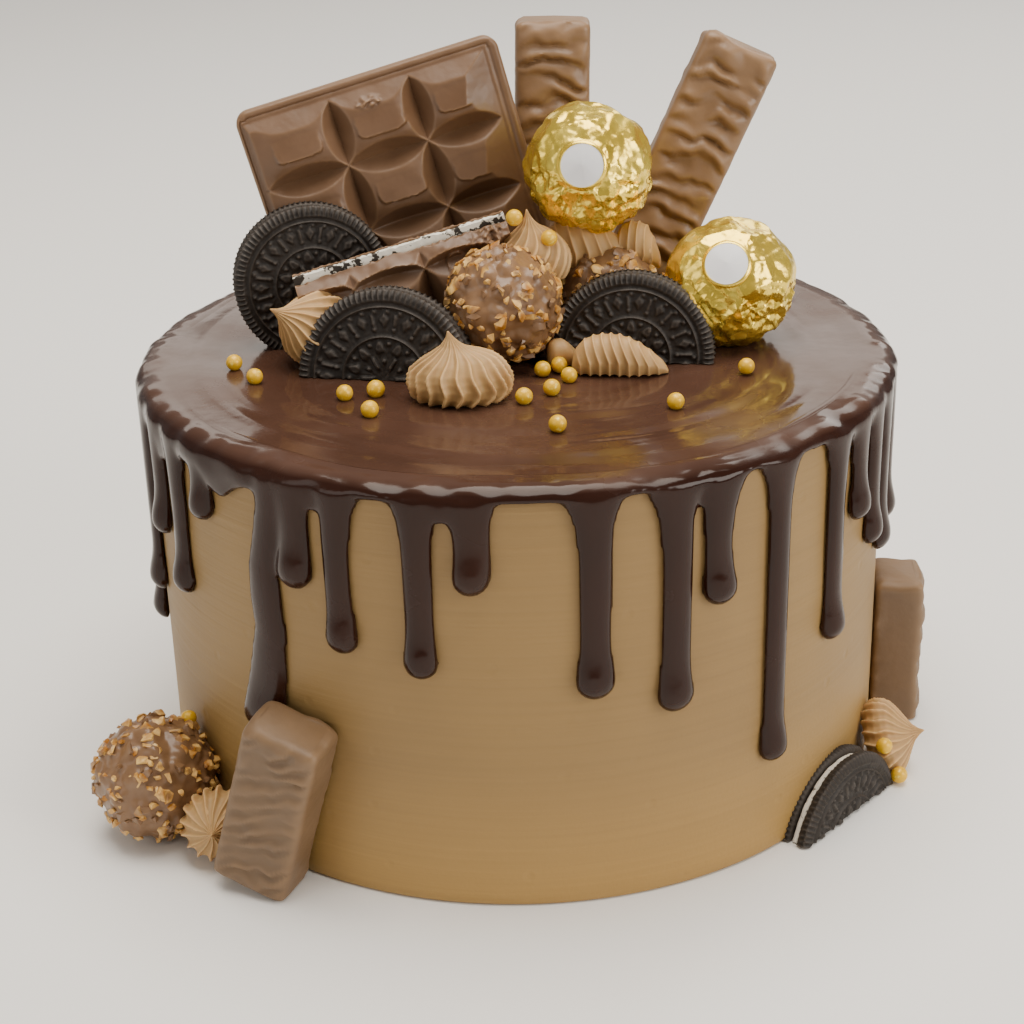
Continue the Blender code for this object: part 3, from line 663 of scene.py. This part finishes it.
def broken_plate(name, back, front, top, columns, rows):
    """A plate broken along its top: loops from its back, over the break and down its front.

    front gives the front's depth for places across and down; top gives the break's height for
    places across.
    """
    width, length, edge_steps = 60.0, 58.0, 6
    x = np.linspace(0, width, columns)
    edge = top(x)
    down = edge[:, None] + (length - edge[:, None]) * np.linspace(0, 1, rows) ** 1.5
    across = np.repeat(x[:, None], rows, 1)
    depth = -front(across, down)
    loops = [np.stack([across, depth, -down], -1)[:, ::-1]]
    share = (np.arange(1, edge_steps) / edge_steps)[None, :]
    over_x = np.repeat(x[:, None], edge_steps - 1, 1)
    over_y = depth[:, :1] + (back - depth[:, :1]) * share
    rough = 0.55 * ragged(over_x, over_y, 1.1, 0.9, 21.0) + 0.35 * ragged(over_x, over_y, 3.5, 3.0, 23.0)
    loops.append(np.stack([over_x, over_y, -edge[:, None] + rough], -1))
    for level in (edge + 0.1, (edge + length) / 2, np.full(columns, length)):
        loops.append(np.stack([x, np.full(columns, back), -level], -1)[:, None])
    points = np.concatenate(loops, 1)
    points[..., 0] -= width / 2
    spot, turn = (-31.0, -6.5, 147.6), (0, -14.0, 8.0)
    data = as_mesh(name, placed(points, spot, turn), grid_faces(columns, points.shape[1]))
    return stand_on(data, REST_TOP)


def crumb_cream():
    """Sweet cream with crushed cocoa cookies: white, with dark crumbs of 1 to 2 mm."""
    cream, tree, shader, where = new_material("cream_with_cookie_crumbs", "e9e3d2", 0.6)
    stretch = (pattern(3.33), pattern(3.03), pattern(3.03))
    long_way = add(tree, "Mapping", Vector=where, Scale=stretch)
    crumb = add(tree, "TexNoise", Vector=(long_way, 0), Scale=1.0, Detail=3.0, Roughness=0.65)
    dark = add(tree, "MapRange", inputs={0: (crumb, 0), 1: 0.515, 2: 0.545})
    tint = add(tree, "Mix", COLOURS, {0: (dark, 0), 6: "ece8da", 7: "2e2822"})
    bump = add(tree, "Bump", Strength=0.5, Distance=0.4 * MM, Height=(crumb, 0))
    connect(tree, shader, bump, tint)
    return cream


def make_filled_piece(chocolate):
    filling_thick, shell = 2.1, 1.2

    def front(x, z):
        square = moulded_squares((x + 5) / 20, (z + 12.5) / 19.4, 20.0, 19.4, 3.0, 9)
        bubble = 0.9 * np.clip((3.0 - np.hypot(x - 44.0, z - 8.2)) / 0.4, 0, 1)
        broken = z - 0.6 + 1.5 * ragged(x, z, 8.0, 5.0, 31.0) + 0.3 * ragged(x, z, 2.4, 1.8, 33.0)
        torn = np.exp(-(((x - 55) / 5.5) ** 2 + ((z - 3.0) / 3.0) ** 2))
        pitted = 1.6 * torn * ragged(x, z, 1.0, 1.0, 37.0)
        solid = 2.6 + square + bubble
        return np.clip(np.minimum(solid, np.maximum(broken, 0.3)) + pitted, 0.2, 5.4)

    def filling(x, z):
        return 0.15 * ragged(x, z, 2.0, 2.0, 41.0) - 0.1 - GAP

    def back_shell(x, z):
        return 0 * x - 2 * GAP - filling_thick

    def edge(mean, seed, coarse):
        def level(x):
            chipped = 0.3 * ragged(x, 0 * x, 1.5, 1.0, seed + 2)
            return mean - coarse * ragged(x, 0 * x, 6.0, 1.0, seed) - chipped
        return level

    back = GAP + filling_thick
    data = broken_plate("broken_chocolate_squares", -0.02, front, edge(1.9, 51.0, 0.9), 150, 96)
    show(data, chocolate, ["filled_piece_front"], sharp=50)
    data = broken_plate("crumb_filling", back, filling, edge(0.2, 61.0, 0.5), 150, 24)
    show(data, crumb_cream(), ["filled_piece_filling"], sharp=50)
    data = broken_plate("thin_back_shell", back + GAP + shell, back_shell, edge(0.1, 71.0, 0.5), 120, 24)
    show(data, chocolate, ["filled_piece_back"], sharp=50)


make_filled_piece(tablet_chocolate)


# Biscuit bars coated in milk chocolate: the coating ran down the broad face in drapes that
# lie over each other, and pooled in small lips round the base. Two stand in the cake, two at
# its foot.

def drape(phase):
    """Height across one drape: a long swell and a short fall into the next crease."""
    return math.sin(math.pi * (phase % 1) ** 1.5) ** 0.8


def bar_points(width, thick, length, depth, pitch, slant, arch, tilt, seed):
    """Rings round the bar from its top to its bottom, with drapes on the face towards -Y."""
    sides = 88
    rows = int(length / 0.6)
    corner = 2.4
    points = []
    for i in range(rows + 1):
        down = length * i / rows
        end = min(down, length - down)
        draw_in = corner * (1 - math.sqrt(max(0.0, 1 - (1 - min(1.0, end / corner)) ** 2)))
        for k in range(sides):
            turn = 2 * math.pi * k / sides
            c, s = math.cos(turn), math.sin(turn)
            square = (abs(c) ** 8 + abs(s) ** 8) ** (-1 / 8)
            x = (width / 2 - draw_in) * c * square
            y = (thick / 2 - draw_in) * s * square
            facing = max(0.0, -s * square) ** 3
            side = abs(x) / (width / 2)
            line = down - arch * side ** 2 + slant * x
            line += 3.4 * wave(x / 9, down / 12, seed) + 1.3 * wave(x / 4, down / 5, seed + 1)
            strength = 0.72 + 1.7 * wave(x / 8, line / 7, seed + 3)
            strength = max(0.1, min(1.35, strength)) * (1 - 0.75 * float(ease(side, 0.7, 1.0)))
            lump = depth * (drape(line / pitch) - 0.45) * strength * min(1.0, end / 3)
            lump += 0.5 * wave(x / 8, y / 8, down / 12 + seed)
            lip = max(0.0, s * square) ** 6 * (0.8 + 2.6 * max(0.0, wave(x / 4, down / 4, seed + 7)))
            lean = tilt * (y + thick / 2) / thick * max(0.0, 1 - down / 14)
            crown = 1.3 * (wave(x / 7, y / 7, seed + 9) - 0.3) * max(0.0, 1 - down / 9)
            points.append((x + (lip + 0.25 * lump) * c, y - lump * facing + 0.3 * lump * s,
                           lean + crown - down))
    return np.array(points) + np.array([0, thick / 2, 0]), rows + 1, sides


def make_bars():
    # Bars: node, place, turn, width, thickness and length, the drapes' depth, pitch, slant and
    # arch, how far the top rises to the back, and the level that the bar stands on.
    bars = [("bar_upright", (13.1, 41.2, 199.1), (-6.0, 1.7, 0), (21.5, 14.0, 92.0),
             1.5, 5.6, 0.0, 2.6, 0.0, REST_TOP),
            ("bar_leaning", (66.2, 31.0, 192.4), (-8.0, 24.9, -5.5), (22.4, 14.0, 102.0),
             1.5, 5.8, 0.16, 2.4, 0.6, REST_TOP),
            ("bar_foot_left", (-61.1, -101.4, 49.2), (0, 16.0, -23.0), (21.4, 14.0, 49.2),
             0.75, 4.4, 0.5, 0.6, 2.4, REST_FOOT),
            ("bar_foot_right", (118.0, -4.0, 45.2), (0, 0, 84.0), (20.0, 14.2, 60.0),
             0.9, 6.0, 0.1, 2.0, 0.0, REST_FOOT)]
    coating = milk_chocolate("milk_chocolate_coating", "6b5036", "8f6f4f", 0.42, 3.125, 0.25)
    # Those at the foot take a darker copy as painted shade; it is also duller.
    shaded_coating = milk_chocolate("painted_shade_milk_chocolate_coating", "5d4731", "80664a", 0.5, 3.125, 0.3)
    for number, (node, spot, turn, size, *drapes, floor) in enumerate(bars):
        points, rows, sides = bar_points(*size, *drapes, 2.0 + 4 * number)
        data = as_mesh(node + "_coated", placed(points, spot, turn), grid_faces(rows, sides))
        chocolate = shaded_coating if floor == REST_FOOT else coating
        show(stand_on(data, floor), chocolate, [node], sharp=60)


make_bars()


# Sandwich cookies: two dark cocoa wafers with white cream between them. The wafer's rim has
# fine teeth, and its face is stamped with a plain wreath of diamonds, strokes and dots.

WAFER = 3.6
COOKIE_CREAM = 1.8
COOKIE_THICK = 2 * WAFER + COOKIE_CREAM + 2 * GAP
RIM_TEETH = 92


def near(distance, half, soft=0.22):
    """1 within half of a line, falling to 0 just outside it."""
    return np.clip((half - np.abs(distance)) / soft + 0.5, 0, 1)


def stamped(reach, angle, radius):
    """Height of the stamped pattern, from 0 to 1: rings of diamonds, strokes, drops and dots."""
    pattern = np.maximum(near(reach - 0.80 * radius, 0.35, 0.4), near(reach - 0.47 * radius, 0.3, 0.4))
    # Rings of motifs: how many, share of the radius, turn in steps, and which motif.
    rings = ((16, 0.66, 0.0, "diamond"), (16, 0.66, 0.5, "stroke"), (16, 0.555, 0.5, "dot"),
             (32, 0.755, 0.25, "dot"), (11, 0.36, 0.0, "drop"), (11, 0.40, 0.5, "dot"),
             (6, 0.19, 0.0, "stroke"), (6, 0.20, 0.5, "dot"))
    for count, middle, turn, motif in rings:
        step = 2 * math.pi / count
        across = ((angle / step + turn + 0.5) % 1 - 0.5) * step * reach
        along = reach - middle * radius
        if motif == "diamond":
            shape = near(np.abs(across) / 1.25 + np.abs(along) / 2.0, 1.0, 0.5)
        elif motif == "stroke":
            shape = near(across, 0.45, 0.4) * near(along, 1.7, 0.5)
        elif motif == "drop":
            shape = near(np.hypot(across * (1 + 0.25 * along), along * 0.7), 1.1, 0.5)
        else:
            shape = near(np.hypot(across, along), 0.55, 0.4)
        pattern = np.maximum(pattern, shape)
    return pattern


def wafer(name, radius, flip, spot, turn, floor, seed):
    columns = RIM_TEETH * 3
    face = np.linspace(0.02, 0.86, 44)
    rim = np.array([0.875, 0.89, 0.905, 0.92, 0.94, 0.96, 0.975, 0.985])
    shares = np.concatenate([face, rim])
    angle = 2 * math.pi * np.arange(columns) / columns
    tooth = 0.5 + 0.5 * np.cos(angle * RIM_TEETH)
    rows = []
    for share in shares:
        reach = np.full(columns, share * radius)
        band = float(ease(share, 0.84, 0.89))
        height = 0.78 * stamped(reach, angle, radius) * (share < 0.86)
        height = height + band * (0.85 - 1.5 * max(0.0, (share - 0.91) / 0.09) ** 2)
        height = height - (1 - tooth) * 0.85 * float(ease(share, 0.86, 0.90))
        rows.append((reach, 0.75 - height))
    for depth, out in ((1.5, 1.0), (2.4, 1.0), (3.1, 0.985), (WAFER, 0.975), (WAFER, 0.90)):
        fade = 1.0 if depth < 2.5 else 0.4
        rows.append((radius * out - (1 - tooth) * 0.8 * fade, np.full(columns, depth)))
    points = []
    for reach, depth in rows:
        for r, a, d in zip(reach, angle, depth):
            x, z = r * math.cos(a), r * math.sin(a)
            crumb = 0.16 * wave(x / 0.8, z / 0.8, seed + d) + 0.16 * wave(x / 3, z / 3, seed)
            level = d + crumb
            points.append((x, COOKIE_THICK - level if flip else level, z))
    data = as_mesh(name, placed(points, spot, turn), grid_faces(len(rows), columns))
    return stand_on(data, floor)


def cocoa_wafer():
    """Dark cocoa wafer: matt, finely pored, paler with dust along its raised edges."""
    cocoa, tree, shader, where = new_material("dark_cocoa_wafer", "16110e", 0.6)
    pores = add(tree, "TexNoise", Vector=where, Scale=pattern(0.91), Detail=5.0)
    patch = add(tree, "TexNoise", Vector=where, Scale=pattern(8.33), Detail=3.0)
    shape = add(tree, "NewGeometry")
    dust = add(tree, "MapRange", inputs={0: (shape, "Pointiness"), 1: 0.49, 2: 0.60, 4: 0.8})
    tint = add(tree, "Mix", COLOURS, {0: (patch, 0), 6: "140f0b", 7: "261d16"})
    edge = add(tree, "Mix", COLOURS, {0: (dust, 0), 6: (tint, 2), 7: "4d443c"})
    bump = add(tree, "Bump", Strength=0.45, Distance=0.3 * MM, Height=(pores, 0))
    connect(tree, shader, bump, edge)
    return cocoa


def make_cookies():
    cookies = [("cookie_back_left", (-55.4, 0.6, 135.2), (-3.0, 0, 11.0), 22.0, REST_TOP),
               ("cookie_front", (-35.2, -29.6, 117.8), (-8.9, 0, -11.3), 24.2, REST_TOP),
               ("cookie_right", (31.2, -19.5, 118.9), (-7.0, 7.9, -9.6), 22.8, REST_TOP),
               ("cookie_foot", (89.4, -64.9, -5.6), (0, 0, 48.0), 23.2, REST_FOOT)]
    cocoa = cocoa_wafer()
    # Sweet white cream, slightly crumbly at its cut edge.
    white = speckled("white_cookie_cream", "efe9dc", 0.6, 1.43, 4.0, (0.62, 0.66, 0.8),
                     ("efe9dc", "5c5048"), (0.4, 0.3))
    for number, (node, spot, turn, radius, floor) in enumerate(cookies):
        for side, flip in (("outer", False), ("inner", True)):
            data = wafer(f"{node}_{side}_wafer", radius, flip, spot, turn, floor, 3 * number + flip)
            show(data, cocoa, [f"{node}_{side}"], sharp=70)
        # The cream bulges a little between the wafers.
        columns, squeezed = 160, radius - 1.6
        bulge = [(-0.5, 0.0), (-0.05, 0.25), (0.1, 0.9), (-0.05, 1.55), (-0.5, COOKIE_CREAM)]
        points = []
        for out, depth, a in turned(bulge, columns):
            r = squeezed + out + 0.35 * wave(math.cos(a) * 6, math.sin(a) * 6, number)
            points.append((r * math.cos(a), WAFER + GAP + depth, r * math.sin(a)))
        data = as_mesh(f"{node}_filling", placed(points, spot, turn), grid_faces(len(bulge), columns))
        show(stand_on(data, floor), white, [f"{node}_cream"], sharp=70)


make_cookies()


# Ball-shaped sweets wrapped in crumpled gold foil, each with a round blank label stuck on.
# The foil is pleated round the ball, and creased all over.

def facets(units, count, uneven, seed):
    """How far a crumpled skin of flat facets reaches along each unit vector, less 1."""
    draw = np.random.default_rng(seed)
    normals = draw.normal(size=(count, 3))
    normals /= np.linalg.norm(normals, axis=1, keepdims=True)
    depth = draw.uniform(1 - uneven, 1.0, count)
    return np.min(depth / np.clip(units @ normals.T, 0.08, None), axis=1) - 1


def pleats(aside, count, seed):
    """Sharp folds that run out from the label, each of its own width and height, from 0 to 1."""
    draw = np.random.default_rng(seed)
    lines = np.sort((np.arange(count) + draw.uniform(-0.38, 0.38, count)) / count) * 2 * math.pi
    heights = draw.uniform(0.25, 1.0, count)
    lines = np.concatenate([lines - 2 * math.pi, lines, lines + 2 * math.pi])
    at = np.searchsorted(lines, aside)
    low, high = lines[at - 1], lines[at]
    return (1 - np.abs((aside - low) / (high - low) * 2 - 1)) * heights[at % count]


def gold_foil():
    """Thin gold-coloured aluminium foil, bright, with fine creases."""
    gold, tree, shader, where = new_material("crumpled_gold_foil", "f2d468", 0.2, 0.85)
    cloud = add(tree, "TexNoise", Vector=where, Scale=pattern(7.14), Detail=3.0)
    crease = add(tree, "TexVoronoi", {"feature": "DISTANCE_TO_EDGE"},
                 {"Vector": where, "Scale": pattern(4.76), "Randomness": 1.0})
    tint = add(tree, "Mix", COLOURS, {0: (cloud, 0), 6: "f9cb3a", 7: "ffe96c"})
    dull = add(tree, "MapRange", inputs={0: (cloud, 0), 1: 0.3, 2: 0.7, 3: 0.18, 4: 0.32})
    bump = add(tree, "Bump", Strength=0.15, Distance=0.6 * MM, Height=(crease, 0))
    connect(tree, shader, bump, tint, dull)
    return gold


def label_paper():
    """Glossy white label paper."""
    paper, tree, shader, where = new_material("white_label_paper", "f6f6f8", 0.28)
    fibre = add(tree, "TexNoise", Vector=where, Scale=pattern(3.85), Detail=3.0)
    bump = add(tree, "Bump", Strength=0.12, Distance=0.4 * MM, Height=(fibre, 0))
    connect(tree, shader, bump)
    return paper


def wrapper_points(radius, turn, number):
    """The crumpled foil about its own middle, in rows from the label to the far side."""
    rows, columns = 150, 200
    polar, aside = np.meshgrid(np.linspace(0.01, math.pi - 0.01, rows),
                               2 * math.pi * np.arange(columns) / columns, indexing="ij")
    polar, aside = polar.ravel(), aside.ravel()
    local = np.stack([np.sin(polar) * np.cos(aside), np.sin(polar) * np.sin(aside), np.cos(polar)], -1)
    upward = local @ turn.T[:, 2]
    below = 0.35 + 0.65 * ease(-upward, -0.45, 0.25)
    crumple = facets(local, 70, 0.07, 3 + number)
    for count, uneven, seed, depth in ((420, 0.03, 13, 2.4), (1500, 0.012, 23, 3.4)):
        ridges = facets(local, count, uneven, seed + number)
        valleys = facets(local, count, uneven, seed + 40 + number)
        crumple += below * depth * (ridges - valleys)
    sway = aside + 0.22 * np.sin(2.3 * polar + number)
    folds = ease(polar, 0.45, 0.95) * below * (pleats(sway % (2 * math.pi), 23, 33 + number) - 0.5)
    # Under the label the foil lies flat on the ball.
    away = ease(polar, 0.34, 0.46)
    lift = -0.15 + away * (radius * crumple + 0.6 * folds + 0.9)
    skin = local * (radius + np.clip(lift, -3.0, 1.3))[:, None]
    return skin @ turn.T, grid_faces(rows, columns)


def make_label(name, node, radius, turn, centre, number, paper, gold):
    """A round paper label, bent to the ball, with a gold edge."""
    label_radius, edge, columns = 6.7, 0.9, 72
    profile = [(0.05, 0.62), (label_radius - edge, 0.55), (label_radius - edge + 0.05, 0.70),
               (label_radius - 0.25, 0.70), (label_radius, 0.45), (label_radius, 0.1)]
    points = []
    for reach, lift, a in turned(profile, columns):
        level = math.sqrt(radius ** 2 - reach ** 2) + lift
        level += 0.08 * wave(reach * math.cos(a) / 3, a, number)
        points.append((reach * math.cos(a), reach * math.sin(a), level))
    points = np.array(points) @ turn.T + np.array(centre)
    data = as_mesh(name, points, grid_faces(len(profile), columns))
    show(data, paper, [node], sharp=40)
    data.materials.append(gold)
    for face in data.polygons:
        if min(face.vertices) >= columns and len(face.vertices) == 4:
            face.material_index = 1


def make_foil_balls():
    radius = 17.1
    balls = [("foil_ball_upper", (21.5, 8.0, 164.3), (-0.15, -0.95, 0.28)),
             ("foil_ball_right", (60.2, -0.6, 133.3), (-0.17, -0.81, 0.57))]
    gold = gold_foil()
    paper = label_paper()
    for number, (node, centre, look) in enumerate(balls):
        turn = np.array(Vector(look).normalized().to_track_quat("Z", "Y").to_matrix())
        points, faces = wrapper_points(radius, turn, number)
        data = as_mesh(node + "_wrapper", points + np.array(centre), faces)
        show(stand_on(data, REST_TOP), gold, [node], sharp=13)
        make_label(node + "_blank_label", node + "_label", radius, turn, centre, number, paper, gold)


make_foil_balls()


# Hazelnut balls: a crisp shell covered with chopped roasted nuts and coated in thin milk
# chocolate, so that some bits show golden and others are only lumps under the coat.

def ball_points(subdivisions):
    """Unit vectors and faces of a finely divided ball."""
    mesh = bmesh.new()
    bmesh.ops.create_icosphere(mesh, subdivisions=subdivisions, radius=1.0)
    mesh.verts.ensure_lookup_table()
    points = np.array([vertex.co.normalized() for vertex in mesh.verts])
    faces = [[vertex.index for vertex in face.verts] for face in mesh.faces]
    mesh.free()
    return points, faces


def nut_bit(mesh, middle, normal, size, draw):
    """One angular splinter of nut: the hull of a few points about its middle."""
    turn = normal.to_track_quat("Z", "Y").to_matrix()
    tilt = (draw.uniform(-0.6, 0.6), draw.uniform(-0.6, 0.6), draw.uniform(0, 6.3))
    turn = turn @ Euler(tilt).to_matrix()
    corners = []
    for _ in range(12):
        point = Vector((draw.gauss(0, 1), draw.gauss(0, 1), draw.gauss(0, 1))).normalized()
        point = Vector([point[axis] * size[axis] / 2 for axis in range(3)])
        corners.append(mesh.verts.new(turn @ point + middle))
    hull = bmesh.ops.convex_hull(mesh, input=corners)
    unused = [item for item in hull["geom_interior"] if isinstance(item, bmesh.types.BMVert)]
    bmesh.ops.delete(mesh, geom=unused, context="VERTS")
    return [item for item in hull["geom"] if isinstance(item, bmesh.types.BMFace)]


def roasted_hazelnut():
    """Roasted hazelnut: golden, with thin chocolate over parts of it."""
    nut, tree, shader, where = new_material("roasted_hazelnut", "c79550", 0.36)
    cloud = add(tree, "TexNoise", Vector=where, Scale=pattern(3.03), Detail=3.0)
    tone = add(tree, "MapRange", inputs={0: (cloud, 0), 1: 0.36, 2: 0.64})
    flesh = add(tree, "Mix", COLOURS, {0: (tone, 0), 6: "ad7024", 7: "efc476"})
    film = add(tree, "TexNoise", Vector=where, Scale=pattern(4.17), Detail=2.0)
    covered = add(tree, "MapRange", inputs={0: (film, 0), 1: 0.56, 2: 0.64, 4: 0.7})
    tint = add(tree, "Mix", COLOURS, {0: (covered, 0), 6: (flesh, 2), 7: "8a684c"})
    bump = add(tree, "Bump", Strength=0.3, Distance=0.4 * MM, Height=(cloud, 0))
    connect(tree, shader, bump, tint)
    return nut


def scattered_bits(count, draw):
    """Directions spread evenly over a ball, with each bit's length and how far it stands out."""
    golden_angle = 2.399963
    bits = []
    for i in range(count):
        level = 1 - 2 * (i + 0.5) / count
        turn = i * golden_angle + draw.uniform(-0.5, 0.5)
        flat = math.sqrt(1 - level * level)
        normal = Vector((flat * math.cos(turn), flat * math.sin(turn), level + draw.uniform(-0.12, 0.12)))
        long = 1.8 + 3.4 * draw.random() ** 1.25
        bits.append((normal.normalized(), long, draw.uniform(-0.1, 0.5)))
    return bits


def make_nut_balls():
    bit_count, bare_share = 300, 0.8
    balls = [("nut_ball_front", (-3.1, -13.8, 133.0), 15.4, REST_TOP),
             ("nut_ball_middle", (26.5, 5.6, 129.4), 15.3, REST_TOP),
             ("nut_ball_foot", (-100.7, -62.2, 16.4), 16.3, REST_FOOT)]
    # Thin milk chocolate over wafer and nuts: satin, with its colour varying where it is thin.
    coat = speckled("nut_ball_chocolate_coat", "7d5f48", 0.34, 4.76, 4.0, (0.0, 1.0, 1.0),
                    ("6c4d34", "91704f"), (0.35, 0.6))
    nut = roasted_hazelnut()
    units, faces = ball_points(6)
    for number, (node, centre, radius, floor) in enumerate(balls):
        draw = random.Random(60 + number)
        bits = scattered_bits(bit_count, draw)
        longs = np.array([long for _, long, _ in bits])
        # The coat swells over each bit, and over a few lumps between them.
        near_bit = units @ np.array([normal for normal, _, _ in bits]).T
        spread = (longs * 0.62 / radius) ** 2
        swell = np.max(np.exp(-(2 - 2 * near_bit) / spread) * longs / 4.3, axis=1)
        lumps = [0.5 * wave(*(unit * 3.0), number) + 0.3 * wave(*(unit * 8.0), number) for unit in units]
        points = units * (radius - 0.7 + 1.3 * swell + np.array(lumps))[:, None] + np.array(centre)
        mesh = bmesh.new()
        mesh.from_mesh(as_mesh("coat", points, faces))
        for normal, long, proud in bits:
            size = (long, long * draw.uniform(0.6, 0.95), 1.0 + long * draw.uniform(0.25, 0.4))
            middle = (Vector(centre) + normal * (radius + proud)) * MM
            made = nut_bit(mesh, middle, normal, [s * MM for s in size], draw)
            bare = draw.random() < bare_share
            for face in made:
                face.material_index = int(bare)
        bmesh.ops.recalc_face_normals(mesh, faces=mesh.faces)
        data = bpy.data.meshes.new(node + "_hazelnut")
        mesh.to_mesh(data)
        mesh.free()
        show(stand_on(data, floor), coat, [node], sharp=34)
        data.materials.append(nut)


make_nut_balls()


# Chocolate buttercream piped from a star nozzle: kisses drawn up to a peak, and ruffles piped
# sideways. Thin sharp crests stand between wide smooth furrows.

def crest(turn, ribs):
    """Height of the nozzle's crests round a swirl: thin and sharp, with hollow furrows between."""
    across = abs((turn * ribs / (2 * math.pi)) % 1 - 0.5) * 2
    return across ** 2.6


# A kiss from its foot to its peak: share of its height, share of its reach; and the fuller
# outline of the side where the nozzle was drawn along before it was lifted.
KISS = [(0, 0.80), (0.04, 0.88), (0.12, 0.965), (0.24, 1.0), (0.36, 0.965), (0.46, 0.88), (0.57, 0.69),
        (0.68, 0.44), (0.79, 0.215), (0.9, 0.085), (1, 0.014)]
SHOULDER = [(0, 0.80), (0.04, 0.88), (0.12, 0.965), (0.24, 1.0), (0.36, 0.98), (0.52, 0.90), (0.62, 0.78),
            (0.69, 0.58), (0.75, 0.30), (0.82, 0.16), (0.9, 0.08), (1, 0.014)]


def kiss_points(radius, depth, height, bend, ribs, twist, shoulder, seed):
    rows = 50
    columns = 14 * ribs
    rises = np.linspace(0, 1, rows)
    slim = np.interp(rises, *zip(*KISS))
    full = np.interp(rises, *zip(*SHOULDER))
    points = []
    for i, rise in enumerate(rises):
        tuck = 1 - float(ease(rise, 0.0, 0.14))
        for k in range(columns):
            angle = 2 * math.pi * k / columns
            ridge = crest(angle - twist * rise - 0.15 * wave(rise * 3, seed), ribs)
            wide = shoulder * max(0.0, math.cos(angle)) ** 0.8
            share = slim[i] + (full[i] - slim[i]) * wide
            share *= 0.865 + 0.165 * ridge * (1 + 0.5 * tuck) - 0.03 * tuck
            share *= 1 + 0.04 * wave(math.cos(angle) * 1.5, math.sin(angle) * 1.5, seed + rise * 2)
            lean = rise ** 1.8
            points.append((radius * share * math.cos(angle) + bend[0] * lean,
                           depth * share * math.sin(angle) + bend[1] * lean, height * rise))
    return np.array(points), rows, columns


def ruffle_points(length, width, height, ribs, seed):
    """A shell piped sideways: round at both ends, lower to the right, its crests fanned out."""
    rows, columns, under = 14 * ribs + 25, 56, 0.62
    belly = 0.36 * height
    points = []
    for i in range(rows):
        along = 0.004 + 0.992 * i / (rows - 1)
        envelope = (1 - abs(2 * along - 1) ** 3.6) ** 0.5 * (1 - 0.36 * float(ease(along, 0.52, 1.0)))
        for k in range(columns):
            angle = -under + (math.pi + 2 * under) * k / (columns - 1)
            arch = max(0.0, math.sin(angle))
            ridge = crest(2 * math.pi * (along + 0.045 * arch), ribs)
            share = envelope * (0.87 + 0.13 * ridge * (1 - 0.45 * arch))
            share *= 1 + 0.06 * wave(along * 4, angle, seed)
            rise = math.sin(angle) * ((height - belly) if arch > 0 else belly / math.sin(under))
            x = length * (along - 0.5) * (1 - 0.10 * arch ** 1.5 * envelope) - 1.6 * arch * envelope
            points.append((x, -width / 2 * math.cos(angle) * share, belly * envelope + rise * share))
    points = np.array(points)
    points[:, 2] = np.maximum(points[:, 2], 0)
    return points, rows, columns


def piped_buttercream():
    """Smooth chocolate buttercream, matt, with painted shade in its furrows and a painted highlight along its
    crests.
    """
    cream, tree, shader, where = new_material("piped_chocolate_buttercream", "a98760", 0.55,
                                              Subsurface_Weight=0.08, Subsurface_Scale=0.002)
    # Painted light: where the shape bends out the crests are painted lighter as highlight, and where it bends
    # in the furrows darker as shade.
    shape = add(tree, "NewGeometry")
    crest_highlight_and_furrow_shade = add(tree, "MapRange", inputs={0: (shape, "Pointiness"), 1: 0.45, 2: 0.56})
    tint = add(tree, "Mix", COLOURS, {0: (crest_highlight_and_furrow_shade, 0), 6: "94703f", 7: "d8b078"})
    grain = add(tree, "TexNoise", Vector=where, Scale=pattern(1.25), Detail=3.0)
    bump = add(tree, "Bump", Strength=0.15, Distance=0.4 * MM, Height=(grain, 0))
    connect(tree, shader, bump, tint)
    return cream


def make_creams():
    # Kisses: node, base, lean, reach to the sides, to front and back, height, bend, ribs, twist,
    # shoulder. The left one lies on its side, with its peak to the left.
    kisses = [("cream_left", (-50.5, -11.5, 124.5), (0, 58, 215), 10.6, 10.6, 21.0, (0, 0), 16, 0.2, 0.0),
              ("cream_front", (-14.3, -42.8, REST_TOP), (0, 0, 0), 14.0, 10.9, 18.0, (-2.9, 0), 19, 0.3, 1.0),
              ("cream_top_left", (5.8, -3.4, 137.0), (4, -3, 0), 10.6, 8.8, 20.0, (-0.8, -1.0), 14, 1.5, 0.5),
              ("cream_foot_left", (-82.2, -74.5, 9.8), (72, 0, 0), 10.4, 10.4, 15.5, (0, 0), 17, 0.2, 0.0),
              ("cream_foot_right", (99.0, -37.5, 7.6), (0, 70, -16), 11.6, 11.6, 15.5, (0, 0), 19, 0.3, 0.0)]
    cream = piped_buttercream()
    for number, (node, spot, lean, *shape) in enumerate(kisses):
        points, rows, columns = kiss_points(*shape, number)
        data = as_mesh(node + "_kiss", placed(points, spot, lean), grid_faces(rows, columns))
        floor = REST_TOP if spot[2] > GANACHE_TOP else REST_FOOT
        show(stand_on(data, floor), cream, [node])
    # Ruffles: node, base, lean, length, width, height, ribs.
    ruffles = [("cream_right", (28.0, -26.6, REST_TOP), (0, 0, -6), 26.0, 11.6, 11.2, 10),
               ("cream_heart", (21.0, 4.5, 137.5), (0, 0, 0), 29.0, 13.0, 14.0, 8),
               ("cream_right_lobe", (13.6, -19.0, REST_TOP), (0, 0, 12), 9.6, 8.4, 7.8, 1),
               ("cream_top_right", (34.2, 5.6, 138.6), (0, 16, -14), 14.5, 12.5, 11.4, 6)]
    for number, (node, spot, turn, length, width, height, ribs) in enumerate(ruffles):
        points, rows, columns = ruffle_points(length, width, height, ribs, number)
        data = as_mesh(node + "_ruffle", placed(points, spot, turn), grid_faces(rows, columns))
        show(data, cream, [node])


make_creams()
